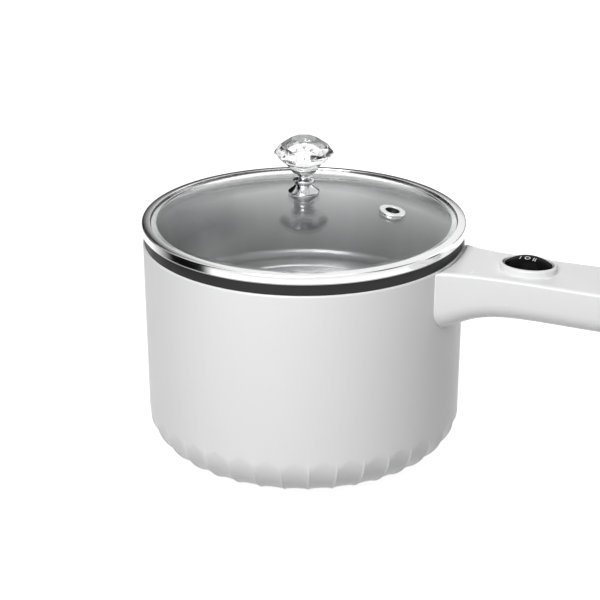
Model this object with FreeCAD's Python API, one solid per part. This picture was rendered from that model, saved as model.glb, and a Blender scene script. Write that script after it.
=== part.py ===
"""Electric hot pot with a lift-off glass lid, built as separate pieces in millimetres.

The origin is on the pot's axis in the plane that its feet stand on, +Z is up
and +X runs along the handle.
"""
import FreeCAD, Part
import math
import os

from FreeCAD import Vector

UP = Vector(0, 0, 1)
ALONG = Vector(1, 0, 0)
ACROSS = Vector(0, 1, 0)

# Body: the white double wall
BODY_TOP_R = 94.0
BODY_DRAFT = 1.5
BODY_TOP_Z = 131.9
BODY_WALL = 2.6
BODY_CORNER_R = 27.0
CORNER_WALL = 3.4
BODY_EDGE_R = 1.2
BASE_Z = 1.8
BASE_RIM_W = 5.5
LEDGE_IN = 8.0
LEDGE_T = 2.8

# Flutes round the lower corner
FLUTE_COUNT = 36
FLUTE_PHASE = 5.0
FLUTE_IN = 1.0
FLUTE_TUBE_R = 42.0
FLUTE_RISE = 2.9
FLUTE_STAND_OFF = 0.05

# Base cover, feet and their screws
COVER_T = 2.6
COVER_GAP = 0.25
FOOT_COUNT = 4
FOOT_RING_IN = 13.0
FOOT_R = 7.0
FOOT_SEAT = 1.2
FOOT_GAP = 0.15
BASE_SCREW_COUNT = 4
BASE_SCREW_IN = 4.0
BASE_BOSS_R = 4.2
BASE_BOSS_H = 12.0
VENT_SLOT_W = 2.6
VENT_SLOT_L = 12.0
VENT_SLOT_COUNT = 12
VENT_RING_R = 14.0

# Screws in plastic
SCREW_R = 1.5
SCREW_HEAD_R = 3.0
SCREW_HEAD_H = 1.8
SCREW_L = 10.0
SCREW_SLOT_W = 0.9
SCREW_SLOT_D = 0.9
SCREW_RECESS = 1.5
PILOT_GAP = 0.05
HOLE_GAP = 0.25

# Black ring between the body and the inner pot
RING_STEP_IN = 0.7
RING_W = 3.8
RING_LIP_GAP = 0.2
RING_LIP_H = 5.0
RING_EDGE_R = 0.8

# Stainless inner pot
POT_SHEET = 0.8
POT_RIM_Z = 139.2
FLANGE_STEP_OUT = 0.9
MOUTH_STEP_IN = 3.0
POT_RIM_BEND = 1.6
POT_DRAFT = 5.5
POT_DEPTH = 49.7
POT_CORNER_R = 6.0
BEAD_STEP_IN = 15.6
BEAD_W = 5.6
BEAD_H = 0.9
BEAD_RAMP = 1.2
HOT_SPOT_STEP_IN = 5.8
HOT_SPOT_RISE = 0.5

# Heater under the pot
PLATE_STEP_IN = 3.0
PLATE_T = 7.0
ELEMENT_STEP_IN = 9.0
ELEMENT_R = 3.2
ELEMENT_OPEN = 50.0
ELEMENT_RUN = 8.0
ELEMENT_GAP = 0.05
COLD_END_H = 12.0
COLD_PIN_R = 1.4
COLD_PIN_H = 4.0
INSULATOR_R = 3.0
INSULATOR_H = 3.0
REFLECTOR_T = 0.6
REFLECTOR_OUT = 5.0
REFLECTOR_SLOPE_W = 6.0
REFLECTOR_DROP = 9.0
REFLECTOR_LIP = 2.0
REFLECTOR_RIM_DROP = 1.0

# Rods that pull the pot down on the base
ROD_COUNT = 3
ROD_STEP_IN = 12.0
ROD_R = 2.0
ROD_BITE = 4.0
ROD_NUT_FLATS = 7.0
ROD_NUT_H = 3.0
ROD_SEAT_H = 5.2
ROD_SEAT_R = 7.0
ROD_SEAT_T = 2.0
ROD_TAIL = 1.0

# Thermostat and thermal fuse
THERMO_R = 8.0
THERMO_H = 13.0
THERMO_FLANGE_R = 12.0
THERMO_FLANGE_T = 1.0
BLADE_W = 4.8
BLADE_T = 0.8
THERMO_BLADE_REACH = 14.0
FUSE_R = 2.2
FUSE_L = 12.0
FUSE_LEAD_L = 4.0
FUSE_LEAD_R = 0.6
CLIP_T = 0.8
CLIP_W = 6.0

# Handle
HANDLE_LIFT = 0.1
HANDLE_L = 160.0
HANDLE_END_R = 2.5
HANDLE_TOP_EDGE_R = 1.6
HANDLE_WALL = 2.6
HANDLE_BODY_GAP = 0.15
ROOT_WALL = 3.4
END_WALL = 3.0
GRIP_W = 21.7
WAIST_W = 20.6
GRIP_DEPTH = 25.2
GRIP_CORNER_R = 11.0
ROOT_SINK = 2.0
ROOT_W = 26.3
ROOT_DEPTH = 36.7
ROOT_FLARE_L = 13.0
ROOT_SWEEP_L = 18.0
GRIP_ALONG = 93.0
SECTION_STEP = 9.0
ROOT_CORNER_R = 14.0

# Top cover of the handle
COVER_INSET = 1.7
TOP_COVER_T = 2.4
COVER_SEAM = 0.12
COVER_EDGE_R = 0.5
CAVITY_EDGE_R = 0.4
COVER_END_BACK = 5.5
POST_R = 3.5
POST_BOSS_R = 5.2
POST_BOSS_TOP = 7.0
POST_HEAD_UP = 3.2
FRONT_POST_ALONG = 22.0
REAR_POST_ALONG = 94.0

# Handle fixing to the body
PAD_DEPTH = 5.6
PAD_HALF_W = 21.0
PAD_H = 24.0
PAD_RING_GAP = 0.9
BRACKET_T = 1.5
BRACKET_EDGE = 1.0
ROOT_SCREW_Y = 15.0
ROOT_SCREW_DROP = 13.0
ROOT_SCREW_R = 2.0
ROOT_SCREW_HEAD_R = 3.8
ROOT_SCREW_HEAD_H = 2.2
ROOT_SCREW_L = 15.0
ROOT_BOSS_R = 4.4
ROOT_BOSS_REACH = 12.0
WIRE_SLOT_DROP = 24.5
WIRE_SLOT_R = 4.0
WIRE_SLOT_HALF = 2.0

# Rocker switch on the handle
SWITCH_ALONG = 45.0
BEZEL_OUT_X = 16.5
BEZEL_OUT_Y = 12.7
BEZEL_H = 4.0
BEZEL_EDGE_R = 1.1
BEZEL_IN_X = 15.0
BEZEL_IN_Y = 10.7
SKIRT_T = 0.8
SKIRT_H = 11.0
SKIRT_GAP = 0.15
PIVOT_DROP = 3.0
ROCKER_END_GAP = 1.5
ROCKER_SIDE_GAP = 0.9
ROCKER_FLARE = 0.4
ROCKER_EDGE_UP = 6.8
ROCKER_LEG_SINK = 0.5
ROCKER_UNDER = 2.3
ROCKER_DOME = 4.4
ROCKER_LEG_R = 2.2
ROCKER_LEG_HALF_W = 7.0
AXLE_R = 0.8
AXLE_RUN_GAP = 0.05
AXLE_HALF_L = 9.6
EAR_R = 1.6
EAR_T = 2.0
EAR_SIDE_GAP = 0.4
SWITCH_TOP_DROP = 5.8
SWITCH_H = 10.7
SWITCH_GAP = 0.25
TERMINAL_PITCH = 9.0
TERMINAL_L = 4.9
DIODE_R = 1.5
DIODE_L = 5.4
DIODE_Y = 6.5
DIODE_LEAD_R = 0.4

# Power inlet in the end of the handle
INLET_DROP = 12.7
INLET_W = 24.4
INLET_H = 16.4
INLET_CHAMFER = 4.5
INLET_DEPTH = 20.0
INLET_WALL = 1.3
INLET_BACK = 3.5
INLET_SINK = 0.3
INLET_GAP = 0.15
INLET_WING = 1.6
INLET_WING_OUT = 2.0
PIN_PITCH = 14.0
PIN_OFFSET = 2.0
PIN_TALL = 4.0
PIN_WIDE = 2.0
PIN_REACH = 15.5
PIN_TAIL = 6.0

# Lid
LID_OVERHANG = 0.8
LID_BAND_H = 5.0
LID_SEAT_GAP = 0.1
BAND_SHEET = 0.6
BAND_TOP_W = 5.4
BAND_EDGE_R = 1.1
LID_SKIRT_GAP = 0.7
LID_SKIRT_H = 3.0
GLASS_T = 3.8
GLASS_EDGE_GAP = 0.2
GLASS_FLAT_IN = 1.8
GLASS_RISE = 15.6
GLASS_BEND_R = 9.0

# Steam vent in the glass
VENT_X = 53.3
VENT_Y = 4.3
VENT_FLANGE_R = 7.7
VENT_FLANGE_T = 0.9
VENT_BORE_R = 4.2
VENT_TUBE_R = 5.6
VENT_HOLE_GAP = 0.2
VENT_BAR_W = 1.3
VENT_LOW_R = 7.0
VENT_BOW = 0.12

# Knob
KNOB_SCREW_R = 2.5
KNOB_HOLE_GAP = 0.5
KNOB_SEAL_R = 8.4
KNOB_SEAL_T = 0.6
STEM_FOOT_R = 9.1
STEM_H = 14.9
STEM_CUP_R = 8.3
STEM_WAIST_R = 3.4
STEM_BEAD_R = 6.0
STEM_NECK_R = 4.9
CUP_WALL = 0.8
CRYSTAL_SIDES = 8
CRYSTAL_TABLE_R = 7.4
CRYSTAL_SHOULDER_R = 14.9
CRYSTAL_GIRDLE_R = 17.2
CRYSTAL_GIRDLE_LOBE = 1.1
CRYSTAL_WAIST_R = 12.4
CRYSTAL_FOOT_R = 7.4
CRYSTAL_H = 18.4
CRYSTAL_PHASE = 23.0
CRYSTAL_SHOULDER_DROP = 3.6
CRYSTAL_GIRDLE_DROP = 8.2
CRYSTAL_WAIST_DROP = 14.6
KNOB_SCREW_BITE = 9.0
KNOB_HEAD_R = 4.6
KNOB_HEAD_H = 2.6
KNOB_WASHER_R = 7.0
KNOB_WASHER_T = 1.0

# Wires
WIRE_R = 1.0
WIRE_SPACING = 3.0
WIRE_ARC_SHARE = 0.45
WIRE_DROP_IN = 3.2
WIRE_LEAD = 6.0
WIRE_NEAR_WALL = 6.0
WIRE_PAST_POST = 7.5
TERMINAL_HOLD = 2.0
EARTH_STEP_IN = 10.0
EARTH_Y = 26.0
WIRE_HANG = 17.0
WIRE_DETOUR_R = 36.0
EARTH_HANG = 8.0
WIRE_SLOT_LIFT = 0.5

# Values worked out from the ones above
BODY_FOOT_R = BODY_TOP_R - BODY_DRAFT
FLUTE_CENTRE_R = BODY_FOOT_R - BODY_CORNER_R - FLUTE_IN
FLUTE_CURVE_R = BODY_CORNER_R + FLUTE_IN + FLUTE_STAND_OFF
BASE_OPENING_R = BODY_FOOT_R - BODY_CORNER_R - BASE_RIM_W
FOOT_RING_R = BASE_OPENING_R - FOOT_RING_IN
BASE_SCREW_RING_R = BASE_OPENING_R - BASE_SCREW_IN
RING_OUT_R = BODY_TOP_R - RING_STEP_IN
RING_IN_R = RING_OUT_R - RING_W
POT_FLANGE_R = RING_OUT_R + FLANGE_STEP_OUT
POT_MOUTH_R = RING_IN_R - MOUTH_STEP_IN
POT_FLOOR_R = POT_MOUTH_R - POT_DRAFT
POT_FLOOR_Z = POT_RIM_Z - POT_DEPTH
BEAD_OUT_R = POT_FLOOR_R - BEAD_STEP_IN
BEAD_IN_R = BEAD_OUT_R - BEAD_W
HOT_SPOT_R = BEAD_IN_R - HOT_SPOT_STEP_IN
PLATE_R = HOT_SPOT_R - PLATE_STEP_IN
ELEMENT_RING_R = PLATE_R - ELEMENT_STEP_IN
ROD_RING_R = ELEMENT_RING_R - ROD_STEP_IN
REFLECTOR_R = PLATE_R + REFLECTOR_OUT
REFLECTOR_FLOOR_R = REFLECTOR_R - REFLECTOR_SLOPE_W
EARTH_X = REFLECTOR_FLOOR_R - EARTH_STEP_IN
LID_R = POT_FLANGE_R + LID_OVERHANG
BAND_TOP_IN_R = LID_R - BAND_TOP_W
SKIRT_R = POT_MOUTH_R - LID_SKIRT_GAP
GLASS_FLAT_R = BAND_TOP_IN_R - GLASS_FLAT_IN
HANDLE_TOP_Z = BODY_TOP_Z + HANDLE_LIFT
ROOT_X = BODY_TOP_R - ROOT_SINK
HANDLE_END_X = ROOT_X + HANDLE_L
GRIP_X = ROOT_X + GRIP_ALONG
SWITCH_X = ROOT_X + SWITCH_ALONG
FRONT_POST_X = ROOT_X + FRONT_POST_ALONG
REAR_POST_X = ROOT_X + REAR_POST_ALONG
PAD_X = BODY_TOP_R - PAD_DEPTH
PAD_HIGH_Z = BODY_TOP_Z - RING_LIP_H - PAD_RING_GAP
PAD_LOW_Z = PAD_HIGH_Z - PAD_H
ROOT_SCREW_Z = HANDLE_TOP_Z - ROOT_SCREW_DROP
WIRE_SLOT_Z = HANDLE_TOP_Z - WIRE_SLOT_DROP
WIRE_DROP_X = PAD_X - WIRE_DROP_IN
PIVOT_Z = HANDLE_TOP_Z - PIVOT_DROP
ROCKER_HALF_L = BEZEL_IN_X - ROCKER_END_GAP
ROCKER_HALF_W = BEZEL_IN_Y - ROCKER_SIDE_GAP
SKIRT_LOW_Z = HANDLE_TOP_Z - SKIRT_H
SWITCH_TOP_Z = HANDLE_TOP_Z - SWITCH_TOP_DROP
SWITCH_LOW_Z = SWITCH_TOP_Z - SWITCH_H
TERMINAL_LOW_Z = SWITCH_LOW_Z - TERMINAL_L
INLET_Z = HANDLE_TOP_Z - INLET_DROP
CORNER_Z = BASE_Z + BODY_CORNER_R
COVER_TOP_Z = BASE_Z + COVER_T
FLANGE_LOW_Z = POT_RIM_Z - POT_SHEET
PLATE_TOP_Z = POT_FLOOR_Z + HOT_SPOT_RISE - POT_SHEET
PLATE_LOW_Z = PLATE_TOP_Z - PLATE_T
ELEMENT_Z = PLATE_LOW_Z
COLD_END_Z = ELEMENT_Z - COLD_END_H
ROD_SEAT_Z = BASE_Z + ROD_SEAT_H
REFLECTOR_LOW_Z = PLATE_LOW_Z - REFLECTOR_DROP
THERMO_TOP_Z = PLATE_LOW_Z
BLADE_Z = THERMO_TOP_Z - THERMO_H + 2 * BLADE_T
GRIP_LOW_Z = HANDLE_TOP_Z - GRIP_DEPTH
TOP_COVER_LOW_Z = HANDLE_TOP_Z - TOP_COVER_T
POST_LOW_Z = GRIP_LOW_Z + POST_BOSS_TOP
POST_HEAD_Z = GRIP_LOW_Z + POST_HEAD_UP
BAND_LOW_Z = POT_RIM_Z + LID_SEAT_GAP
BAND_TOP_Z = BAND_LOW_Z + LID_BAND_H
GLASS_LOW_Z = BAND_LOW_Z + BAND_SHEET
GLASS_TOP_Z = GLASS_LOW_Z + GLASS_T
GLASS_APEX_Z = GLASS_TOP_Z + GLASS_RISE
GLASS_R = (GLASS_FLAT_R ** 2 + GLASS_RISE ** 2) / (2 * GLASS_RISE)
GLASS_CENTRE_Z = GLASS_APEX_Z - GLASS_R
STEM_Z = GLASS_APEX_Z + KNOB_SEAL_T
STEM_TOP_Z = STEM_Z + STEM_H
CRYSTAL_Z = STEM_TOP_Z - CUP_WALL
CRYSTAL_TOP_Z = CRYSTAL_Z + CRYSTAL_H
SLOT_WIRE_Z = WIRE_SLOT_Z + WIRE_SLOT_LIFT
INLET_BACK_X = HANDLE_END_X - INLET_SINK - INLET_DEPTH - INLET_BACK
TAIL_X = INLET_BACK_X - PIN_TAIL
FAR = 400.0
PAST = 5.0


# Helpers

def spin(points):
    """Solid of revolution about Z from a closed outline of (radius, height) points."""
    corners = [Vector(r, 0, z) for r, z in points]
    outline = Part.makePolygon(corners + corners[:1])
    return Part.Face(outline).revolve(Vector(0, 0, 0), UP, 360)


def spin_edges(edges):
    """Solid of revolution about Z from a closed wire of edges in the XZ plane."""
    face = Part.Face(Part.Wire(edges))
    return face.revolve(Vector(0, 0, 0), UP, 360)


def rod(radius, start, end):
    """Cylinder from one point to another."""
    run = end - start
    return Part.makeCylinder(radius, run.Length, start, run)


def post(radius, x, y, low, high):
    """Upright cylinder."""
    return Part.makeCylinder(radius, high - low, Vector(x, y, low), UP)


def block(x, y, z):
    """Box from three (low, high) pairs."""
    size = (x[1] - x[0], y[1] - y[0], z[1] - z[0])
    return Part.makeBox(size[0], size[1], size[2], Vector(x[0], y[0], z[0]))


def oval(half_x, half_y, low, high):
    """Upright elliptical prism about the switch's centre."""
    ellipse = Part.Ellipse(Vector(SWITCH_X, 0, low), half_x, half_y)
    face = Part.Face(Part.Wire(ellipse.toShape()))
    return face.extrude(Vector(0, 0, high - low))


def around(count, radius, phase=0.0):
    """Points evenly spaced on a circle about the pot's axis, with their angles."""
    places = []
    for index in range(count):
        angle = math.radians(phase) + 2 * math.pi * index / count
        places.append((radius * math.cos(angle), radius * math.sin(angle), math.degrees(angle)))
    return places


def arc(start, middle, end):
    """Edge of a circular arc through three points."""
    return Part.Arc(start, middle, end).toShape()


def line(start, end):
    """Straight edge."""
    return Part.LineSegment(start, end).toShape()


def save(node, shape):
    """Write one piece to its own file and report its size."""
    clean = shape.removeSplitter() if shape.ShapeType == "Solid" else shape
    kept = clean if clean.isValid() else shape
    kept.exportStep("parts/%s.step" % node)
    print("%-22s valid %s solids %d volume %.1f" % (node, kept.isValid(), len(kept.Solids), kept.Volume))


# Body

def body_radius(z):
    """Outer radius of the body's wall at a height above its rounded corner."""
    share = (z - CORNER_Z) / (BODY_TOP_Z - CORNER_Z)
    return BODY_FOOT_R + (BODY_TOP_R - BODY_FOOT_R) * share


def body_outline(inset, corner, low):
    """Edges of the body's side, from the axis at the bottom to the axis at the top."""
    foot = BODY_FOOT_R - inset
    top = BODY_TOP_R - inset
    turn = corner * math.sqrt(0.5)
    centre = Vector(foot - corner, 0, low + corner)
    ground = Vector(foot - corner, 0, low)
    side = Vector(foot, 0, low + corner)
    middle = Vector(centre.x + turn, 0, centre.z - turn)
    edges = [line(Vector(0, 0, low), ground)]
    edges.append(arc(ground, middle, side))
    edges.append(line(side, Vector(top, 0, BODY_TOP_Z)))
    edges.append(line(Vector(top, 0, BODY_TOP_Z), Vector(0, 0, BODY_TOP_Z)))
    edges.append(line(Vector(0, 0, BODY_TOP_Z), Vector(0, 0, low)))
    return edges


def flute_cutters():
    """Curved tubes that scoop the flutes out of the lower corner."""
    centre_z = CORNER_Z + FLUTE_RISE
    pivot = Vector(FLUTE_CENTRE_R, 0, centre_z)
    middle = Vector(FLUTE_CENTRE_R + FLUTE_CURVE_R + FLUTE_TUBE_R, 0, centre_z)
    face = Part.Face(Part.Wire(Part.makeCircle(FLUTE_TUBE_R, middle, UP)))
    scoop = face.revolve(pivot, ACROSS, 90)
    cutters = []
    for index in range(FLUTE_COUNT):
        copy = scoop.copy()
        turn = FLUTE_PHASE + 180.0 / FLUTE_COUNT + 360.0 * index / FLUTE_COUNT
        copy.rotate(Vector(0, 0, 0), UP, turn)
        cutters.append(copy)
    return cutters


def body_envelope(gap):
    """Solid that fills the body's outside, grown by a gap."""
    return spin_edges(body_outline(-gap, BODY_CORNER_R + gap, BASE_Z - gap))


def body_cone(gap):
    """Cone along the body's straight side, grown by a gap, that the handle is cut to."""
    low = CORNER_Z
    high = HANDLE_TOP_Z + HANDLE_WALL
    return spin([(0, low), (body_radius(low) + gap, low), (body_radius(high) + gap, high), (0, high)])


def handle_pad():
    """Flat pad inside the wall, where the handle is screwed on."""
    pad = block((PAD_X, BODY_TOP_R), (-PAD_HALF_W, PAD_HALF_W), (PAD_LOW_Z, PAD_HIGH_Z))
    return pad.common(body_envelope(-BODY_WALL / 2))


def wire_slot(low_x, high_x):
    """Rounded slot through the body's wall and the handle's root."""
    start = Vector(low_x, -WIRE_SLOT_HALF, WIRE_SLOT_Z)
    left = Part.makeCylinder(WIRE_SLOT_R, high_x - low_x, start, ALONG)
    right = left.translated(Vector(0, 2 * WIRE_SLOT_HALF, 0))
    height = (WIRE_SLOT_Z - WIRE_SLOT_R, WIRE_SLOT_Z + WIRE_SLOT_R)
    middle = block((low_x, high_x), (-WIRE_SLOT_HALF, WIRE_SLOT_HALF), height)
    return left.fuse([middle, right])


def root_screw_holes(radius, low_x, high_x):
    """Cylinders along the two screws that hold the handle."""
    holes = []
    for side in (-1, 1):
        start = Vector(low_x, side * ROOT_SCREW_Y, ROOT_SCREW_Z)
        holes.append(Part.makeCylinder(radius, high_x - low_x, start, ALONG))
    return holes


def outer_shell():
    """White shell with its fluted lower corner, base ledge and handle pad."""
    shell = body_envelope(0)
    inner_low = BASE_Z + CORNER_WALL
    shell = shell.cut(spin_edges(body_outline(BODY_WALL, BODY_CORNER_R - CORNER_WALL, inner_low)))
    shell = shell.makeFillet(BODY_EDGE_R, ring_edge(shell, BODY_TOP_R, BODY_TOP_Z))
    shell = shell.cut(flute_cutters())
    ledge_r = BASE_OPENING_R - LEDGE_IN
    outer = BODY_FOOT_R - BODY_CORNER_R
    ledge = spin([(ledge_r, COVER_TOP_Z), (outer, COVER_TOP_Z), (outer, COVER_TOP_Z + LEDGE_T),
                  (ledge_r, COVER_TOP_Z + LEDGE_T)])
    bosses = []
    pilots = []
    for x, y, angle in around(BASE_SCREW_COUNT, BASE_SCREW_RING_R, 45):
        bosses.append(post(BASE_BOSS_R, x, y, COVER_TOP_Z, COVER_TOP_Z + BASE_BOSS_H))
        pilots.append(post(SCREW_R + PILOT_GAP, x, y, COVER_TOP_Z - 1, COVER_TOP_Z + SCREW_L))
    shell = shell.cut(post(BASE_OPENING_R, 0, 0, BASE_Z - 1, COVER_TOP_Z))
    shell = shell.cut(post(ledge_r, 0, 0, COVER_TOP_Z, inner_low + 1))
    shell = shell.fuse([ledge, handle_pad()] + bosses)
    holes = root_screw_holes(ROOT_SCREW_R + HOLE_GAP, PAD_X - PAST, BODY_TOP_R + PAST)
    return shell.cut(pilots + holes + [wire_slot(PAD_X - PAST, BODY_TOP_R + PAST)])


def vent_slots():
    """Radial slots that let heat out of the base."""
    slots = []
    for x, y, angle in around(VENT_SLOT_COUNT, VENT_RING_R):
        slot = block((-VENT_SLOT_L / 2, VENT_SLOT_L / 2), (-VENT_SLOT_W / 2, VENT_SLOT_W / 2),
                     (BASE_Z - 1, COVER_TOP_Z + 1))
        slot.rotate(Vector(0, 0, 0), UP, angle)
        slot.translate(Vector(x, y, 0))
        slots.append(slot)
    return slots


def base_cover():
    """Flat cover that closes the base, with seats for feet, screws and rods."""
    cover = post(BASE_OPENING_R - COVER_GAP, 0, 0, BASE_Z, COVER_TOP_Z)
    seats = [post(FOOT_R + FOOT_GAP, x, y, BASE_Z - 1, BASE_Z + FOOT_SEAT)
             for x, y, angle in around(FOOT_COUNT, FOOT_RING_R)]
    holes = []
    for x, y, angle in around(BASE_SCREW_COUNT, BASE_SCREW_RING_R, 45):
        holes.append(post(SCREW_R + HOLE_GAP, x, y, BASE_Z - 1, COVER_TOP_Z + 1))
        holes.append(post(SCREW_HEAD_R + HOLE_GAP, x, y, BASE_Z - 1, BASE_Z + SCREW_RECESS))
    towers = []
    for x, y, angle in around(ROD_COUNT, ROD_RING_R, 60):
        towers.append(post(ROD_SEAT_R, x, y, BASE_Z, ROD_SEAT_Z + ROD_SEAT_T))
        holes.append(post(ROD_SEAT_R - ROD_SEAT_T, x, y, BASE_Z - 1, ROD_SEAT_Z))
        holes.append(post(ROD_R + HOLE_GAP, x, y, BASE_Z - 1, ROD_SEAT_Z + ROD_SEAT_T + 1))
    cover = cover.fuse(towers)
    return cover.cut(seats + holes + vent_slots())


def base_feet():
    """Rubber feet pressed into the cover's seats."""
    return [post(FOOT_R, x, y, 0, BASE_Z + FOOT_SEAT)
            for x, y, angle in around(FOOT_COUNT, FOOT_RING_R)]


def slotted_screw(x, y, low, head_r, head_h, shank_r, length):
    """Screw driven upwards, with a slot across its head."""
    head = post(head_r, x, y, low, low + head_h)
    shank = post(shank_r, x, y, low + head_h, low + head_h + length)
    slot = block((x - head_r, x + head_r), (y - SCREW_SLOT_W / 2, y + SCREW_SLOT_W / 2),
                 (low - 1, low + SCREW_SLOT_D))
    return head.fuse(shank).cut(slot)


def base_screws():
    """Screws that hold the base cover to the shell."""
    low = BASE_Z + SCREW_RECESS - SCREW_HEAD_H
    return [slotted_screw(x, y, low, SCREW_HEAD_R, SCREW_HEAD_H, SCREW_R, SCREW_L)
            for x, y, angle in around(BASE_SCREW_COUNT, BASE_SCREW_RING_R, 45)]


def rim_ring():
    """Black heat-proof ring that carries the inner pot on the shell."""
    lip_r = BODY_TOP_R - BODY_WALL - RING_LIP_GAP
    ring = spin([(RING_IN_R, BODY_TOP_Z - RING_LIP_H), (lip_r, BODY_TOP_Z - RING_LIP_H),
                 (lip_r, BODY_TOP_Z), (RING_OUT_R, BODY_TOP_Z), (RING_OUT_R, FLANGE_LOW_Z),
                 (RING_IN_R, FLANGE_LOW_Z)])
    return ring.makeFillet(RING_EDGE_R, ring_edge(ring, RING_OUT_R, FLANGE_LOW_Z))


# Inner pot

def pot_filling(grow):
    """Solid that fills the pot up to its rim, grown by the sheet's thickness."""
    floor = POT_FLOOR_Z - grow
    corner = POT_CORNER_R + grow
    wall = POT_FLOOR_R + grow
    turn = corner * math.sqrt(0.5)
    spots = [(0, floor + HOT_SPOT_RISE), (HOT_SPOT_R, floor + HOT_SPOT_RISE),
             (HOT_SPOT_R + BEAD_RAMP, floor), (BEAD_IN_R, floor),
             (BEAD_IN_R + BEAD_RAMP, floor + BEAD_H), (BEAD_OUT_R - BEAD_RAMP, floor + BEAD_H),
             (BEAD_OUT_R, floor), (wall - corner, floor)]
    places = [Vector(r, 0, z) for r, z in spots]
    edges = [line(a, b) for a, b in zip(places, places[1:])]
    side = Vector(wall, 0, floor + corner)
    middle = Vector(wall - corner + turn, 0, floor + corner - turn)
    mouth = Vector(POT_MOUTH_R + grow, 0, POT_RIM_Z)
    centre = Vector(0, 0, POT_RIM_Z)
    edges.append(arc(places[-1], middle, side))
    edges.append(line(side, mouth))
    edges.append(line(mouth, centre))
    edges.append(line(centre, places[0]))
    return spin_edges(edges)


def ring_edge(shape, radius, height):
    """The circular edge at a radius and height."""
    found = []
    for edge in shape.Edges:
        box = edge.BoundBox
        if abs(box.XMax - radius) < 0.3 and box.ZLength < 0.01 and abs(box.ZMin - height) < 0.01:
            found.append(edge)
    return found


def inner_pot():
    """Stainless pot with a flat flange and stamped rings in its floor."""
    flange = post(POT_FLANGE_R, 0, 0, FLANGE_LOW_Z, POT_RIM_Z)
    pot = pot_filling(POT_SHEET).fuse(flange)
    pot = pot.makeFillet(POT_RIM_BEND - POT_SHEET, ring_edge(pot, POT_MOUTH_R + POT_SHEET, FLANGE_LOW_Z))
    pot = pot.cut(pot_filling(0))
    return pot.makeFillet(POT_RIM_BEND, ring_edge(pot, POT_MOUTH_R, POT_RIM_Z))


# Heater

def element_ring(radius):
    """Open ring of tube, with its gap towards the handle."""
    start = Vector(ELEMENT_RING_R, 0, ELEMENT_Z)
    face = Part.Face(Part.Wire(Part.makeCircle(radius, start, ACROSS)))
    face.rotate(Vector(0, 0, 0), UP, ELEMENT_OPEN / 2)
    return face.revolve(Vector(0, 0, 0), UP, 360 - ELEMENT_OPEN)


def cold_end(side):
    """Place where an end of the element turns down."""
    angle = math.radians(ELEMENT_OPEN / 2)
    x = ELEMENT_RING_R * math.cos(angle) + ELEMENT_RUN * math.sin(angle)
    y = ELEMENT_RING_R * math.sin(angle) - ELEMENT_RUN * math.cos(angle)
    return x, side * y


def cold_tube(side, radius):
    """End of the element that runs on and turns down."""
    angle = math.radians(ELEMENT_OPEN / 2)
    start = Vector(ELEMENT_RING_R * math.cos(angle), side * ELEMENT_RING_R * math.sin(angle), ELEMENT_Z)
    x, y = cold_end(side)
    return tube([start, Vector(x, y, ELEMENT_Z), Vector(x, y, COLD_END_Z)], radius)


def tube(points, radius):
    """Round bar along straight runs that are joined by tangent arcs."""
    edges = []
    start = points[0]
    for before, corner, after in zip(points, points[1:], points[2:]):
        back = before - corner
        ahead = after - corner
        reach = WIRE_ARC_SHARE * min(back.Length, ahead.Length)
        back.normalize()
        ahead.normalize()
        half_turn = (math.pi - back.getAngle(ahead)) / 2
        bend = reach / math.tan(half_turn)
        inward = back + ahead
        inward.normalize()
        centre_gap = math.hypot(reach, bend)
        enter = corner + back * reach
        leave = corner + ahead * reach
        edges.append(line(start, enter))
        edges.append(arc(enter, corner + inward * (centre_gap - bend), leave))
        start = leave
    edges.append(line(start, points[-1]))
    path = Part.Wire(edges)
    section = Part.Wire(Part.makeCircle(radius, points[0], points[1] - points[0]))
    return path.makePipeShell([section], True, False)


def heating_element():
    """Tubular heater cast half into the plate, with its two cold ends."""
    pieces = []
    for side in (-1, 1):
        x, y = cold_end(side)
        pieces.append(cold_tube(side, ELEMENT_R))
        pieces.append(post(COLD_PIN_R, x, y, COLD_END_Z - COLD_PIN_H, COLD_END_Z))
    return element_ring(ELEMENT_R).fuse(pieces)


def element_insulators():
    """Ceramic beads on the pins of the element."""
    beads = []
    for side in (-1, 1):
        x, y = cold_end(side)
        bead = post(INSULATOR_R, x, y, COLD_END_Z - INSULATOR_H, COLD_END_Z)
        beads.append(bead.cut(post(COLD_PIN_R, x, y, COLD_END_Z - INSULATOR_H - 1, COLD_END_Z + 1)))
    return beads


def heating_plate():
    """Aluminium plate that spreads the heat into the pot's floor."""
    plate = post(PLATE_R, 0, 0, PLATE_LOW_Z, PLATE_TOP_Z)
    cuts = [element_ring(ELEMENT_R + ELEMENT_GAP)]
    for side in (-1, 1):
        cuts.append(cold_tube(side, ELEMENT_R + ELEMENT_GAP))
    for x, y, angle in around(ROD_COUNT, ROD_RING_R, 60):
        cuts.append(post(ROD_R, x, y, PLATE_LOW_Z - 1, PLATE_LOW_Z + ROD_BITE))
    return plate.cut(cuts)


def heat_reflector():
    """Thin dish that turns the heat back up."""
    low = REFLECTOR_LOW_Z
    top = PLATE_LOW_Z - REFLECTOR_RIM_DROP
    lip = REFLECTOR_R + REFLECTOR_LIP
    dish = spin([(0, low), (REFLECTOR_FLOOR_R, low), (REFLECTOR_R + REFLECTOR_T, top - REFLECTOR_T),
                 (lip, top - REFLECTOR_T), (lip, top), (REFLECTOR_R, top),
                 (REFLECTOR_FLOOR_R - REFLECTOR_T / 2, low + REFLECTOR_T), (0, low + REFLECTOR_T)])
    holes = [post(THERMO_R + HOLE_GAP, 0, 0, low - 1, low + 2)]
    for side in (-1, 1):
        x, y = cold_end(side)
        holes.append(post(ELEMENT_R + HOLE_GAP, x, y, low - 1, low + 2))
    for x, y, angle in around(ROD_COUNT, ROD_RING_R, 60):
        holes.append(post(ROD_R + HOLE_GAP, x, y, low - 1, low + 2))
    return dish.cut(holes)


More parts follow.
